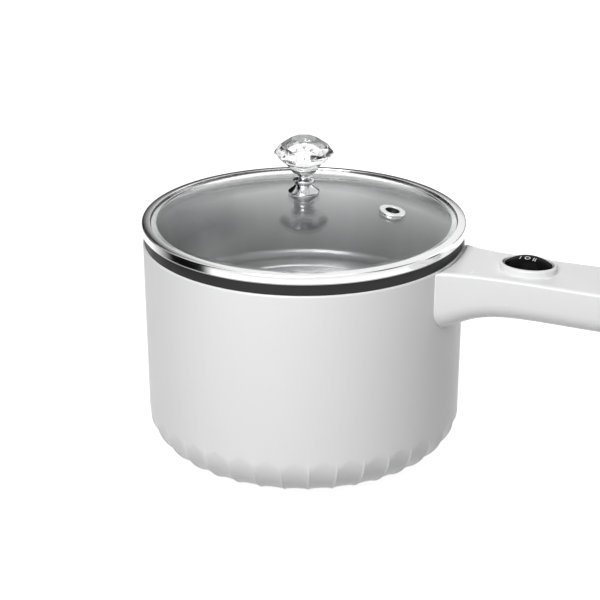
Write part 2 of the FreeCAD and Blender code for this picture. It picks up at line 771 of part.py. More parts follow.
def tie_rods():
    """Rods screwed into the plate that pull the pot down on the base."""
    low = ROD_SEAT_Z - ROD_NUT_H - ROD_TAIL
    return [post(ROD_R, x, y, low, PLATE_LOW_Z + ROD_BITE)
            for x, y, angle in around(ROD_COUNT, ROD_RING_R, 60)]


def hex_nut(x, y, low):
    """Hexagon nut on a rod."""
    corner = ROD_NUT_FLATS / math.sqrt(3)
    points = []
    for index in range(7):
        angle = math.pi * index / 3
        points.append(Vector(x + corner * math.cos(angle), y + corner * math.sin(angle), low))
    nut = Part.Face(Part.makePolygon(points)).extrude(Vector(0, 0, ROD_NUT_H))
    return nut.cut(post(ROD_R, x, y, low - 1, low + ROD_NUT_H + 1))


def rod_nuts():
    """Nuts under the base seats and under the reflector."""
    nuts = []
    for x, y, angle in around(ROD_COUNT, ROD_RING_R, 60):
        nuts.append(hex_nut(x, y, ROD_SEAT_Z - ROD_NUT_H))
        nuts.append(hex_nut(x, y, REFLECTOR_LOW_Z - ROD_NUT_H))
    return nuts


def thermostat():
    """Snap-disc thermostat under the plate, with two flat blades."""
    body = post(THERMO_R, 0, 0, THERMO_TOP_Z - THERMO_H, THERMO_TOP_Z)
    flange = post(THERMO_FLANGE_R, 0, 0, THERMO_TOP_Z - THERMO_FLANGE_T, THERMO_TOP_Z)
    blades = block((-THERMO_BLADE_REACH, THERMO_BLADE_REACH), (-BLADE_W / 2, BLADE_W / 2),
                   (BLADE_Z - BLADE_T / 2, BLADE_Z + BLADE_T / 2))
    return body.fuse([flange, blades])


def fuse_start():
    """End of the thermal fuse's first lead, on the thermostat's blade."""
    return Vector(THERMO_BLADE_REACH, 0, BLADE_Z)


def thermal_fuse():
    """Thermal fuse in line with the thermostat, with its two leads."""
    start = fuse_start()
    body = start + ALONG * FUSE_LEAD_L
    after = body + ALONG * FUSE_L
    end = after + ALONG * FUSE_LEAD_L
    pieces = [rod(FUSE_LEAD_R, start, body), rod(FUSE_LEAD_R, after, end)]
    return rod(FUSE_R, body, after).fuse(pieces)


def fuse_clip():
    """Strap that holds the thermal fuse under the reflector."""
    middle = fuse_start().x + FUSE_LEAD_L + FUSE_L / 2
    width = FUSE_R + CLIP_T
    reach = (middle - CLIP_W / 2, middle + CLIP_W / 2)
    strap = block(reach, (-width, width), (BLADE_Z - width, REFLECTOR_LOW_Z))
    start = Vector(reach[0] - 1, 0, BLADE_Z)
    return strap.cut(rod(FUSE_R, start, start + ALONG * (CLIP_W + 2)))


# Handle

def handle_half_width(x):
    """Half of the handle's width at a distance from the pot's axis."""
    flare = (ROOT_W - WAIST_W) * math.exp((ROOT_X - x) / ROOT_FLARE_L)
    share = min(max((x - SWITCH_X) / (GRIP_X - SWITCH_X), 0), 1)
    swell = (GRIP_W - WAIST_W) * share * share * (3 - 2 * share)
    return WAIST_W + flare + swell


def handle_low(x):
    """Height of the handle's underside at a distance from the pot's axis."""
    past = max(x - ROOT_X, 0) / ROOT_SWEEP_L
    return GRIP_LOW_Z - (ROOT_DEPTH - GRIP_DEPTH) * math.exp(-past ** 1.5)


def handle_corner(x):
    """Radius of the handle's lower corners at a distance from the pot's axis."""
    past = max(x - ROOT_X, 0) / ROOT_FLARE_L
    return GRIP_CORNER_R + (ROOT_CORNER_R - GRIP_CORNER_R) * math.exp(-past)


def handle_section(x, half, low, high, low_r, top_r):
    """Closed wire across the handle: flat top, straight sides and round lower corners."""
    def at(y, z):
        return Vector(x, y, z)
    low_turn = low_r * (1 - math.sqrt(0.5))
    top_turn = top_r * (1 - math.sqrt(0.5))
    edges = [line(at(top_r - half, high), at(half - top_r, high))]
    edges.append(arc(at(half - top_r, high), at(half - top_turn, high - top_turn), at(half, high - top_r)))
    edges.append(line(at(half, high - top_r), at(half, low + low_r)))
    edges.append(arc(at(half, low + low_r), at(half - low_turn, low + low_turn), at(half - low_r, low)))
    edges.append(line(at(half - low_r, low), at(low_r - half, low)))
    edges.append(arc(at(low_r - half, low), at(low_turn - half, low + low_turn), at(-half, low + low_r)))
    edges.append(line(at(-half, low + low_r), at(-half, high - top_r)))
    edges.append(arc(at(-half, high - top_r), at(top_turn - half, high - top_turn), at(top_r - half, high)))
    return Part.Wire(edges)


def handle_places(start, end):
    """Distances from the axis where the handle's sections stand."""
    count = round((end - start) / SECTION_STEP)
    return [start + (end - start) * index / count for index in range(count + 1)]


def handle_hull():
    """Outside of the whole handle, with its rounded end."""
    sections = []
    last = HANDLE_END_X - HANDLE_END_R
    for x in handle_places(ROOT_X - ROOT_SWEEP_L, last):
        sections.append(handle_section(x, handle_half_width(x), handle_low(x), HANDLE_TOP_Z,
                                       handle_corner(x), HANDLE_TOP_EDGE_R))
    main = Part.makeLoft(sections, True, False)
    caps = []
    for step in range(5):
        angle = math.pi / 2 * step / 4
        inset = HANDLE_END_R * (1 - math.cos(angle))
        x = last + HANDLE_END_R * math.sin(angle)
        caps.append(handle_section(x, handle_half_width(last) - inset, handle_low(last) + inset,
                                   HANDLE_TOP_Z - inset, handle_corner(last) - inset, HANDLE_TOP_EDGE_R))
    return main.fuse(Part.makeLoft(caps, True, False)).removeSplitter()


def handle_cavity():
    """Space inside the handle, open at the top."""
    start = ROOT_X - ROOT_SWEEP_L
    sections = []
    for x in handle_places(start, HANDLE_END_X - END_WALL):
        corner = handle_corner(x) - HANDLE_WALL
        sections.append(handle_section(x, handle_half_width(x) - HANDLE_WALL, handle_low(x) + HANDLE_WALL,
                                       TOP_COVER_LOW_Z + 1, corner, CAVITY_EDGE_R))
    cavity = Part.makeLoft(sections, True, False)
    return cavity.cut(body_cone(HANDLE_BODY_GAP + ROOT_WALL))


def cover_slab(gap, high, edge):
    """Slab that follows the handle's outline inside its rim."""
    sections = []
    end = HANDLE_END_X - COVER_END_BACK - gap
    for x in handle_places(ROOT_X - ROOT_SWEEP_L, end):
        sections.append(handle_section(x, handle_half_width(x) - COVER_INSET - gap, TOP_COVER_LOW_Z,
                                       high, COVER_EDGE_R, edge))
    slab = Part.makeLoft(sections, True, False)
    return slab.cut(body_cone(HANDLE_BODY_GAP + COVER_INSET + gap))


def handle_shell():
    """Handle's tray: sides, underside, root wall and end wall in one moulding."""
    hull = handle_hull().cut(body_cone(HANDLE_BODY_GAP))
    shell = hull.cut([handle_cavity(), cover_slab(0, HANDLE_TOP_Z + 4, COVER_EDGE_R)])
    adds = []
    cuts = []
    for x in (FRONT_POST_X, REAR_POST_X):
        boss = post(POST_BOSS_R, x, 0, ROOT_X - 5, POST_LOW_Z)
        adds.append(boss.common(hull))
        cuts.append(post(SCREW_HEAD_R + HOLE_GAP, x, 0, ROOT_X - 10, POST_HEAD_Z))
        cuts.append(post(SCREW_R + HOLE_GAP, x, 0, ROOT_X - 10, POST_LOW_Z + 1))
    root_end = ROOT_X + ROOT_BOSS_REACH
    for side in (-1, 1):
        start = Vector(ROOT_X - 4, side * ROOT_SCREW_Y, ROOT_SCREW_Z)
        boss = Part.makeCylinder(ROOT_BOSS_R, root_end - start.x, start, ALONG)
        adds.append(boss.cut(body_cone(HANDLE_BODY_GAP)))
    shell = shell.fuse(adds)
    cuts += root_screw_holes(ROOT_SCREW_R + PILOT_GAP, PAD_X, root_end - 1)
    cuts.append(wire_slot(PAD_X, ROOT_X + 10))
    cuts.append(inlet_prism(INLET_WALL + INLET_GAP, INLET_BACK_X, HANDLE_END_X + 1))
    return shell.cut(cuts)


def handle_cover():
    """Top cover of the handle, with its posts and the hole for the switch."""
    cover = cover_slab(COVER_SEAM, HANDLE_TOP_Z, COVER_EDGE_R)
    posts = [post(POST_R, x, 0, POST_LOW_Z, TOP_COVER_LOW_Z + 1) for x in (FRONT_POST_X, REAR_POST_X)]
    pilots = [post(SCREW_R + PILOT_GAP, x, 0, POST_LOW_Z - 1, POST_HEAD_Z + SCREW_L + 1)
              for x in (FRONT_POST_X, REAR_POST_X)]
    hole = oval(BEZEL_IN_X + SKIRT_T + SKIRT_GAP, BEZEL_IN_Y + SKIRT_T + SKIRT_GAP,
                TOP_COVER_LOW_Z - 1, HANDLE_TOP_Z + 1)
    return cover.fuse(posts).cut(pilots + [hole])


def handle_screws():
    """Screws from below that hold the handle's cover."""
    return [slotted_screw(x, 0, POST_HEAD_Z - SCREW_HEAD_H, SCREW_HEAD_R, SCREW_HEAD_H, SCREW_R, SCREW_L)
            for x in (FRONT_POST_X, REAR_POST_X)]


def root_bracket():
    """Steel plate inside the body that spreads the pull of the handle's screws."""
    plate = block((PAD_X - BRACKET_T, PAD_X), (BRACKET_EDGE - PAD_HALF_W, PAD_HALF_W - BRACKET_EDGE),
                  (PAD_LOW_Z + BRACKET_EDGE, PAD_HIGH_Z - BRACKET_EDGE))
    holes = root_screw_holes(ROOT_SCREW_R + HOLE_GAP, PAD_X - PAST, PAD_X + 1)
    half = WIRE_SLOT_HALF + WIRE_SLOT_R
    notch = block((PAD_X - PAST, PAD_X + 1), (-half, half), (PAD_LOW_Z, WIRE_SLOT_Z))
    return plate.cut(holes + [wire_slot(PAD_X - PAST, PAD_X + 1), notch])


def root_screws():
    """Two screws from inside the body into the handle's root."""
    screws = []
    seat = PAD_X - BRACKET_T
    for side in (-1, 1):
        start = Vector(seat - ROOT_SCREW_HEAD_H, side * ROOT_SCREW_Y, ROOT_SCREW_Z)
        head = Part.makeCylinder(ROOT_SCREW_HEAD_R, ROOT_SCREW_HEAD_H, start, ALONG)
        shank = Part.makeCylinder(ROOT_SCREW_R, ROOT_SCREW_HEAD_H + ROOT_SCREW_L, start, ALONG)
        width = (start.y - SCREW_SLOT_W / 2, start.y + SCREW_SLOT_W / 2)
        height = (ROOT_SCREW_Z - ROOT_SCREW_HEAD_R, ROOT_SCREW_Z + ROOT_SCREW_HEAD_R)
        slot = block((start.x - 1, start.x + SCREW_SLOT_D), width, height)
        screws.append(head.fuse(shank).cut(slot))
    return screws


# Switch

def switch_bezel():
    """Raised oval ring round the rocker, with a skirt down through the cover."""
    ring = oval(BEZEL_OUT_X, BEZEL_OUT_Y, HANDLE_TOP_Z, HANDLE_TOP_Z + BEZEL_H)
    top = [e for e in ring.Edges if e.BoundBox.ZMin > HANDLE_TOP_Z + BEZEL_H - 0.01]
    ring = ring.makeFillet(BEZEL_EDGE_R, top)
    skirt = oval(BEZEL_IN_X + SKIRT_T, BEZEL_IN_Y + SKIRT_T, SKIRT_LOW_Z, HANDLE_TOP_Z)
    hole = oval(BEZEL_IN_X, BEZEL_IN_Y, SKIRT_LOW_Z - 1, HANDLE_TOP_Z + BEZEL_H + 1)
    return ring.fuse(skirt).cut(hole)


def across_pivot(radius, low_y, high_y):
    """Cylinder about the rocker's pivot line."""
    return Part.makeCylinder(radius, high_y - low_y, Vector(SWITCH_X, low_y, PIVOT_Z), ACROSS)


def rocker_dome():
    """Large ball whose cap makes the rocker's rounded face."""
    edge_z = PIVOT_Z + ROCKER_EDGE_UP
    reach = ROCKER_HALF_W
    radius = (reach ** 2 + ROCKER_DOME ** 2) / (2 * ROCKER_DOME)
    ball = Part.makeSphere(radius, Vector(0, 0, 0), UP, -90, 90, 360)
    stretch = FreeCAD.Matrix()
    stretch.A11 = ROCKER_HALF_L / ROCKER_HALF_W
    stretched = ball.transformGeometry(stretch)
    stretched.translate(Vector(SWITCH_X, 0, edge_z + ROCKER_DOME - radius))
    return stretched


def switch_rocker():
    """Black rocker: domed oval cap and a rounded leg on the axle."""
    under = PIVOT_Z + ROCKER_UNDER
    edge = PIVOT_Z + ROCKER_EDGE_UP
    swing_r = math.hypot(ROCKER_HALF_L, ROCKER_EDGE_UP)
    cap = oval(ROCKER_HALF_L + ROCKER_FLARE, ROCKER_HALF_W, under, edge + ROCKER_DOME + 1)
    cap = cap.common(across_pivot(swing_r, -ROCKER_HALF_W - 1, ROCKER_HALF_W + 1))
    cap = cap.common(rocker_dome())
    leg_y = (-ROCKER_LEG_HALF_W, ROCKER_LEG_HALF_W)
    leg_x = (SWITCH_X - ROCKER_LEG_R, SWITCH_X + ROCKER_LEG_R)
    leg = block(leg_x, leg_y, (PIVOT_Z, under + ROCKER_LEG_SINK))
    leg = leg.fuse(across_pivot(ROCKER_LEG_R, *leg_y))
    return cap.fuse(leg).cut(across_pivot(AXLE_R + AXLE_RUN_GAP, -FAR, FAR))


def switch_axle():
    """Steel pin that the rocker turns on."""
    return across_pivot(AXLE_R, -AXLE_HALF_L, AXLE_HALF_L)


def switch_body():
    """Black body of the switch, with two ears that hold the axle."""
    body = oval(BEZEL_IN_X - SWITCH_GAP, BEZEL_IN_Y - SWITCH_GAP, SWITCH_LOW_Z, SWITCH_TOP_Z)
    ears = []
    for side in (-1, 1):
        near = side * (ROCKER_LEG_HALF_W + EAR_SIDE_GAP)
        far = side * (ROCKER_LEG_HALF_W + EAR_SIDE_GAP + EAR_T)
        low, high = min(near, far), max(near, far)
        ears.append(across_pivot(EAR_R, low, high))
        ears.append(block((SWITCH_X - EAR_R, SWITCH_X + EAR_R), (low, high), (SWITCH_TOP_Z - 1, PIVOT_Z)))
    return body.fuse(ears).cut(across_pivot(AXLE_R, -FAR, FAR))


def terminal_x(index):
    """Place of a switch terminal: -1, 0 or 1, with 1 nearest the handle's end."""
    return SWITCH_X + index * TERMINAL_PITCH


def switch_terminals():
    """Three flat terminals under the switch."""
    return [block((terminal_x(i) - BLADE_T / 2, terminal_x(i) + BLADE_T / 2), (-BLADE_W / 2, BLADE_W / 2),
                  (TERMINAL_LOW_Z, SWITCH_LOW_Z)) for i in (-1, 0, 1)]


def half_wave_diode():
    """Diode between two terminals that halves the heat at the low setting."""
    z = TERMINAL_LOW_Z + BLADE_T
    left = Vector(terminal_x(-1), BLADE_W / 2, z)
    right = Vector(terminal_x(0), BLADE_W / 2, z)
    turn_left = Vector(left.x, DIODE_Y, z)
    turn_right = Vector(right.x, DIODE_Y, z)
    lead = tube([left, turn_left, turn_right, right], DIODE_LEAD_R)
    middle = (turn_left + turn_right) * 0.5
    body = rod(DIODE_R, middle - ALONG * (DIODE_L / 2), middle + ALONG * (DIODE_L / 2))
    return lead.fuse(body)


# Power inlet

def inlet_prism(grow, low_x, high_x):
    """Six-sided prism of the inlet's outline, with its two lower corners cut off."""
    w = INLET_W / 2 + grow
    h = INLET_H / 2 + grow
    c = INLET_CHAMFER + grow * (2 - math.sqrt(2))
    outline = [(-w, h), (w, h), (w, c - h), (w - c, -h), (c - w, -h), (-w, c - h), (-w, h)]
    points = [Vector(low_x, y, INLET_Z + z) for y, z in outline]
    return Part.Face(Part.makePolygon(points)).extrude(Vector(high_x - low_x, 0, 0))


def pin_places():
    """Centres of the three inlet pins across the handle."""
    return [(-PIN_PITCH / 2, INLET_Z - PIN_OFFSET), (PIN_PITCH / 2, INLET_Z - PIN_OFFSET),
            (0, INLET_Z + PIN_OFFSET)]


def pin_bars():
    """The three flat pins, from their tails to their tips."""
    floor = INLET_BACK_X + INLET_BACK
    return [block((TAIL_X, floor + PIN_REACH), (y - PIN_WIDE / 2, y + PIN_WIDE / 2),
                  (z - PIN_TALL / 2, z + PIN_TALL / 2)) for y, z in pin_places()]


def inlet_housing():
    """Black recess for the connector, locked behind the handle's end wall."""
    front = HANDLE_END_X - INLET_SINK
    body = inlet_prism(INLET_WALL, INLET_BACK_X, front)
    wing_end = HANDLE_END_X - END_WALL
    half = INLET_W / 2 + INLET_WALL + INLET_WING_OUT
    wings = block((wing_end - INLET_WING, wing_end), (-half, half), (INLET_Z, INLET_Z + INLET_H / 2))
    recess = inlet_prism(0, INLET_BACK_X + INLET_BACK, front + 1)
    return body.fuse(wings).cut([recess] + pin_bars())


# Lid

def lid_glass():
    """Tempered glass dome with a flat edge, a knob hole and a vent hole."""
    low = GLASS_LOW_Z
    edge = LID_R - BAND_SHEET - GLASS_EDGE_GAP
    inner_r = GLASS_R - GLASS_T
    meet = math.sqrt(inner_r ** 2 - (low - GLASS_CENTRE_Z) ** 2)
    half = math.asin(GLASS_FLAT_R / GLASS_R) / 2
    half_in = math.asin(meet / inner_r) / 2
    flat_top = Vector(GLASS_FLAT_R, 0, GLASS_TOP_Z)
    crown = Vector(0, 0, GLASS_APEX_Z)
    crown_mid = Vector(GLASS_R * math.sin(half), 0, GLASS_CENTRE_Z + GLASS_R * math.cos(half))
    under = Vector(0, 0, GLASS_APEX_Z - GLASS_T)
    under_mid = Vector(inner_r * math.sin(half_in), 0, GLASS_CENTRE_Z + inner_r * math.cos(half_in))
    flat_low = Vector(meet, 0, low)
    edges = [arc(crown, crown_mid, flat_top), line(flat_top, Vector(edge, 0, GLASS_TOP_Z))]
    edges.append(line(Vector(edge, 0, GLASS_TOP_Z), Vector(edge, 0, low)))
    edges.append(line(Vector(edge, 0, low), flat_low))
    edges.append(arc(flat_low, under_mid, under))
    edges.append(line(under, crown))
    glass = spin_edges(edges)
    glass = glass.makeFillet(GLASS_BEND_R, ring_edge(glass, GLASS_FLAT_R, GLASS_TOP_Z))
    glass = glass.makeFillet(GLASS_BEND_R, ring_edge(glass, meet, low))
    knob_hole = post(KNOB_SCREW_R + KNOB_HOLE_GAP, 0, 0, low, GLASS_APEX_Z + 1)
    vent_hole = post(VENT_TUBE_R + VENT_HOLE_GAP, 0, 0, -FAR / 10, FAR / 10)
    return glass.cut([knob_hole, on_vent(vent_hole)])


def on_vent(shape):
    """Move a shape from the origin to the vent, with +Z square to the glass."""
    reach = math.hypot(VENT_X, VENT_Y)
    tilt = math.degrees(math.asin(reach / GLASS_R))
    height = GLASS_CENTRE_Z + math.sqrt(GLASS_R ** 2 - reach ** 2)
    moved = shape.copy()
    moved.rotate(Vector(0, 0, 0), ACROSS, tilt)
    moved.rotate(Vector(0, 0, 0), UP, math.degrees(math.atan2(VENT_Y, VENT_X)))
    moved.translate(Vector(VENT_X, VENT_Y, height))
    return moved


def vent_grommet():
    """Steel eyelet of the steam vent, with a crossed guard in its bore."""
    low = -GLASS_T - VENT_BOW - VENT_FLANGE_T
    top = post(VENT_FLANGE_R, 0, 0, 0, VENT_FLANGE_T)
    top = top.makeFillet(VENT_FLANGE_T * 0.6, ring_edge(top, VENT_FLANGE_R, VENT_FLANGE_T))
    barrel = post(VENT_TUBE_R, 0, 0, low, VENT_FLANGE_T)
    collar = post(VENT_LOW_R, 0, 0, low, low + VENT_FLANGE_T)
    eyelet = top.fuse([barrel, collar]).cut(post(VENT_BORE_R, 0, 0, low - 1, VENT_FLANGE_T + 1))
    bar = (-VENT_BAR_W / 2, VENT_BAR_W / 2)
    reach = (-VENT_BORE_R - 0.3, VENT_BORE_R + 0.3)
    depth = (-VENT_BAR_W, -VENT_BAR_W / 2)
    guard = block(reach, bar, depth).fuse(block(bar, reach, depth))
    return on_vent(eyelet.fuse(guard))


def lid_band():
    """Rolled steel band round the glass, with a skirt that centres the lid."""
    t = BAND_SHEET
    low, top = BAND_LOW_Z, BAND_TOP_Z
    band = spin([(SKIRT_R - t, low - LID_SKIRT_H), (SKIRT_R, low - LID_SKIRT_H), (SKIRT_R, low),
                 (LID_R, low), (LID_R, top), (BAND_TOP_IN_R, top), (BAND_TOP_IN_R, top - t),
                 (LID_R - t, top - t), (LID_R - t, low + t), (SKIRT_R - t, low + t)])
    return band.makeFillet(BAND_EDGE_R, ring_edge(band, LID_R, top))


def knob_seal():
    """Soft washer between the knob and the glass."""
    seal = post(KNOB_SEAL_R, 0, 0, GLASS_APEX_Z, STEM_Z)
    return seal.cut(post(KNOB_SCREW_R + KNOB_HOLE_GAP, 0, 0, GLASS_APEX_Z - 1, STEM_Z + 1))


def knob_stem():
    """Turned chrome stem: foot, neck, bead, waist and the cup for the crystal."""
    z = STEM_Z
    shape = [(0, 0), (STEM_FOOT_R - 0.5, 0), (STEM_FOOT_R, 0.6), (STEM_FOOT_R - 0.6, 1.5),
             (STEM_NECK_R + 1.6, 3.2), (STEM_NECK_R, 4.9), (STEM_NECK_R + 0.5, 5.5),
             (STEM_BEAD_R, 6.5), (STEM_BEAD_R, 7.3), (STEM_WAIST_R + 0.9, 8.5), (STEM_WAIST_R, 9.8),
             (STEM_WAIST_R + 1.2, 11.0), (STEM_CUP_R - 1.1, 12.9), (STEM_CUP_R, STEM_H)]
    places = [Vector(r, 0, z + h) for r, h in shape]
    outline = Part.BSplineCurve()
    outline.interpolate(places[1:])
    rim_in = Vector(CRYSTAL_FOOT_R + 0.2, 0, z + STEM_H)
    cup_floor = Vector(CRYSTAL_FOOT_R + 0.2, 0, CRYSTAL_Z)
    axis_top = Vector(0, 0, CRYSTAL_Z)
    edges = [line(places[0], places[1]), outline.toShape(), line(places[-1], rim_in)]
    edges += [line(rim_in, cup_floor), line(cup_floor, axis_top), line(axis_top, places[0])]
    stem = spin_edges(edges)
    return stem.cut(post(KNOB_SCREW_R, 0, 0, z - 1, z + KNOB_SCREW_BITE))


def crystal_rings():
    """Rings of corners of the faceted crystal, from its foot to its table."""
    top = CRYSTAL_TOP_Z
    flat = math.cos(math.pi / CRYSTAL_SIDES)
    lobe = CRYSTAL_GIRDLE_LOBE
    girdle = top - CRYSTAL_GIRDLE_DROP
    waist = top - CRYSTAL_WAIST_DROP
    shoulder = top - CRYSTAL_SHOULDER_DROP
    return [
        ((CRYSTAL_FOOT_R, CRYSTAL_Z), (CRYSTAL_FOOT_R * flat, CRYSTAL_Z)),
        ((CRYSTAL_FOOT_R, STEM_TOP_Z), (CRYSTAL_FOOT_R * flat, STEM_TOP_Z)),
        ((CRYSTAL_WAIST_R, waist), (CRYSTAL_WAIST_R - lobe, waist - lobe)),
        ((CRYSTAL_GIRDLE_R, girdle - lobe), (CRYSTAL_GIRDLE_R - lobe, girdle - lobe / 2)),
        ((CRYSTAL_GIRDLE_R, girdle), (CRYSTAL_GIRDLE_R - lobe, girdle + lobe / 2)),
        ((CRYSTAL_SHOULDER_R - lobe, shoulder), (CRYSTAL_SHOULDER_R, shoulder - lobe)),
        ((CRYSTAL_TABLE_R * flat, top), (CRYSTAL_TABLE_R, top)),
    ]


def knob_crystal():
    """Clear crystal cut in facets like a gem."""
    count = 2 * CRYSTAL_SIDES
    rings = []
    for even, odd in crystal_rings():
        corners = []
        for index in range(count):
            radius, height = odd if index % 2 else even
            angle = math.radians(CRYSTAL_PHASE) + 2 * math.pi * index / count
            corners.append(Vector(radius * math.cos(angle), radius * math.sin(angle), height))
        rings.append(corners)
    faces = [Part.Face(Part.makePolygon(ring + ring[:1])) for ring in (rings[0], rings[-1])]
    for low, high in zip(rings, rings[1:]):
        for index in range(count):
            after = (index + 1) % count
            split = (low[index], high[after]) if index % 2 else (low[after], high[index])
            for corner in (low[after], high[index]) if index % 2 else (low[index], high[after]):
                faces.append(Part.Face(Part.makePolygon([split[0], corner, split[1], split[0]])))
    crystal = Part.Solid(Part.Shell(faces))
    if crystal.Volume < 0:
        crystal.reverse()
    return crystal


def knob_washer():
    """Steel washer with a soft face under the glass."""
    top = GLASS_APEX_Z - GLASS_T - VENT_BOW
    washer = post(KNOB_WASHER_R, 0, 0, top - KNOB_WASHER_T, top)
    return washer.cut(post(KNOB_SCREW_R + KNOB_HOLE_GAP / 2, 0, 0, top - KNOB_WASHER_T - 1, top + 1))


def knob_screw():
    """Screw from inside the lid up into the knob's stem."""
    top = GLASS_APEX_Z - GLASS_T - VENT_BOW - KNOB_WASHER_T
    head = post(KNOB_HEAD_R, 0, 0, top - KNOB_HEAD_H, top)
    head = head.makeFillet(KNOB_HEAD_H * 0.6, ring_edge(head, KNOB_HEAD_R, top - KNOB_HEAD_H))
    shank = post(KNOB_SCREW_R, 0, 0, top, STEM_Z + KNOB_SCREW_BITE - 1)
    slot = block((-KNOB_HEAD_R, KNOB_HEAD_R), (-SCREW_SLOT_W / 2, SCREW_SLOT_W / 2),
                 (top - KNOB_HEAD_H - 1, top - KNOB_HEAD_H + SCREW_SLOT_D))
    return head.fuse(shank).cut(slot)


# Wires that run inside the handle and the body

def slot_run(y, side):
    """Corners of a wire past the front post, through the root slot and down inside the body."""
    return [Vector(FRONT_POST_X - POST_BOSS_R, side, SLOT_WIRE_Z + WIRE_R),
            Vector(ROOT_X + WIRE_LEAD, y, SLOT_WIRE_Z),
            Vector(WIRE_DROP_X, y, SLOT_WIRE_Z), Vector(WIRE_DROP_X, y, COLD_END_Z)]


def tail_run(index, side, level):
    """Corners of a wire that leaves an inlet pin and settles beside the rear post."""
    y, z = pin_places()[index]
    return [Vector(TAIL_X, y, z), Vector(TAIL_X - WIRE_LEAD, y, z),
            Vector(TAIL_X - 3 * WIRE_LEAD, side, z - WIRE_R),
            Vector(REAR_POST_X - 2 * POST_BOSS_R, side, level)]


def polar(radius, degrees, z):
    """Point at a radius and an angle about the pot's axis."""
    angle = math.radians(degrees)
    return Vector(radius * math.cos(angle), radius * math.sin(angle), z)


def live_wire():
    """From the inlet's first pin to the switch's terminal nearest it."""
    side = WIRE_NEAR_WALL + HANDLE_WALL - WAIST_W
    level = TERMINAL_LOW_Z + TERMINAL_HOLD
    end_x = terminal_x(1)
    points = tail_run(0, side, level)
    points += [Vector(end_x, side, level), Vector(end_x, -BLADE_W / 2, level)]
    return tube(points, WIRE_R)


def switched_wire():
    """From the switch, round two of the rods, to the thermostat."""
    level = TERMINAL_LOW_Z + TERMINAL_HOLD
    start = terminal_x(-1)
    points = [Vector(start, -BLADE_W / 2, level), Vector(start, -WIRE_PAST_POST, level)]
    points += slot_run(-WIRE_SPACING, -WIRE_PAST_POST)
    low = COLD_END_Z - WIRE_HANG
    end_x = -THERMO_BLADE_REACH
    points += [polar(WIRE_DETOUR_R + ROD_RING_R, -27, low), polar(WIRE_DETOUR_R, -84, low)]
    points += [polar(ROD_RING_R, -142, low), Vector(end_x - 1.5 * WIRE_LEAD, 0, BLADE_Z)]
    points += [Vector(end_x, 0, BLADE_Z)]
    return tube(points, WIRE_R)


def neutral_wire():
    """From the inlet's second pin to one end of the heating element."""
    side = WAIST_W - HANDLE_WALL - WIRE_NEAR_WALL
    level = TERMINAL_LOW_Z + TERMINAL_HOLD
    points = tail_run(1, side, level)
    points += slot_run(0, WIRE_PAST_POST)
    x, end_y = cold_end(1)
    low = COLD_END_Z - WIRE_HANG
    points += [Vector((WIRE_DROP_X + x) / 2, end_y / 2, low), Vector(x, end_y, low)]
    points += [Vector(x, end_y, COLD_END_Z - COLD_PIN_H)]
    return tube(points, WIRE_R)


def earth_wire():
    """From the inlet's earth pin to the reflector."""
    side = WAIST_W - HANDLE_WALL - WIRE_NEAR_WALL / 2
    points = tail_run(2, side, INLET_Z)
    points += [Vector(FRONT_POST_X + 1.5 * POST_BOSS_R, side, SLOT_WIRE_Z + 2 * WIRE_SPACING)]
    points += slot_run(WIRE_SPACING, WIRE_PAST_POST + WIRE_SPACING)
    low = COLD_END_Z - EARTH_HANG
    points += [Vector((WIRE_DROP_X + EARTH_X) / 2, EARTH_Y - WIRE_SPACING, low)]
    points += [Vector(EARTH_X, EARTH_Y, low), Vector(EARTH_X, EARTH_Y, REFLECTOR_LOW_Z)]
    return tube(points, WIRE_R)


def fuse_wire():
    """From the thermal fuse to the other end of the heating element."""
    start = fuse_start() + ALONG * (FUSE_L + 2 * FUSE_LEAD_L)
    x, y = cold_end(-1)
    low = COLD_END_Z - WIRE_HANG
    points = [start, start + ALONG * WIRE_LEAD, Vector(x + WIRE_LEAD, y / 2, low + WIRE_LEAD)]
    points += [Vector(x, y, low), Vector(x, y, COLD_END_Z - COLD_PIN_H)]
    return tube(points, WIRE_R)


PIECES = {
    "outer_shell": outer_shell,
    "base_cover": base_cover,
    "base_feet": base_feet,
    "base_screws": base_screws,
    "rim_ring": rim_ring,
    "inner_pot": inner_pot,
    "heating_plate": heating_plate,
    "heating_element": heating_element,
    "element_insulators": element_insulators,
    "heat_reflector": heat_reflector,
    "tie_rods": tie_rods,
    "rod_nuts": rod_nuts,
    "thermostat": thermostat,
    "thermal_fuse": thermal_fuse,
    "fuse_clip": fuse_clip,
    "handle_shell": handle_shell,
    "handle_cover": handle_cover,
    "handle_screws": handle_screws,
    "root_bracket": root_bracket,
    "root_screws": root_screws,
    "switch_bezel": switch_bezel,
    "switch_rocker": switch_rocker,
    "switch_axle": switch_axle,
    "switch_body": switch_body,
    "switch_terminals": switch_terminals,
    "half_wave_diode": half_wave_diode,
    "inlet_housing": inlet_housing,
    "inlet_pins": pin_bars,
    "live_wire": live_wire,
    "switched_wire": switched_wire,
    "neutral_wire": neutral_wire,
    "earth_wire": earth_wire,
    "fuse_wire": fuse_wire,
    "lid_glass": lid_glass,
    "lid_band": lid_band,
    "vent_grommet": vent_grommet,
    "knob_seal": knob_seal,
    "knob_stem": knob_stem,
    "knob_crystal": knob_crystal,
    "knob_washer": knob_washer,
    "knob_screw": knob_screw,
}


def main():
    """Build every piece and write its file."""
    os.makedirs("parts", exist_ok=True)
    for node, build in PIECES.items():
        shape = build()
        save(node, Part.makeCompound(shape) if isinstance(shape, list) else shape)


main()
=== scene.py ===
"""Looks of a small electric hot pot with a glass lid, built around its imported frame.

Meshes are shaped in millimetres and turned into metres when a piece is finished.
"""

import logging
import math
from collections.abc import Sequence
from dataclasses import dataclass
from enum import Enum

import bmesh
import bpy
from mathutils import Matrix, Vector


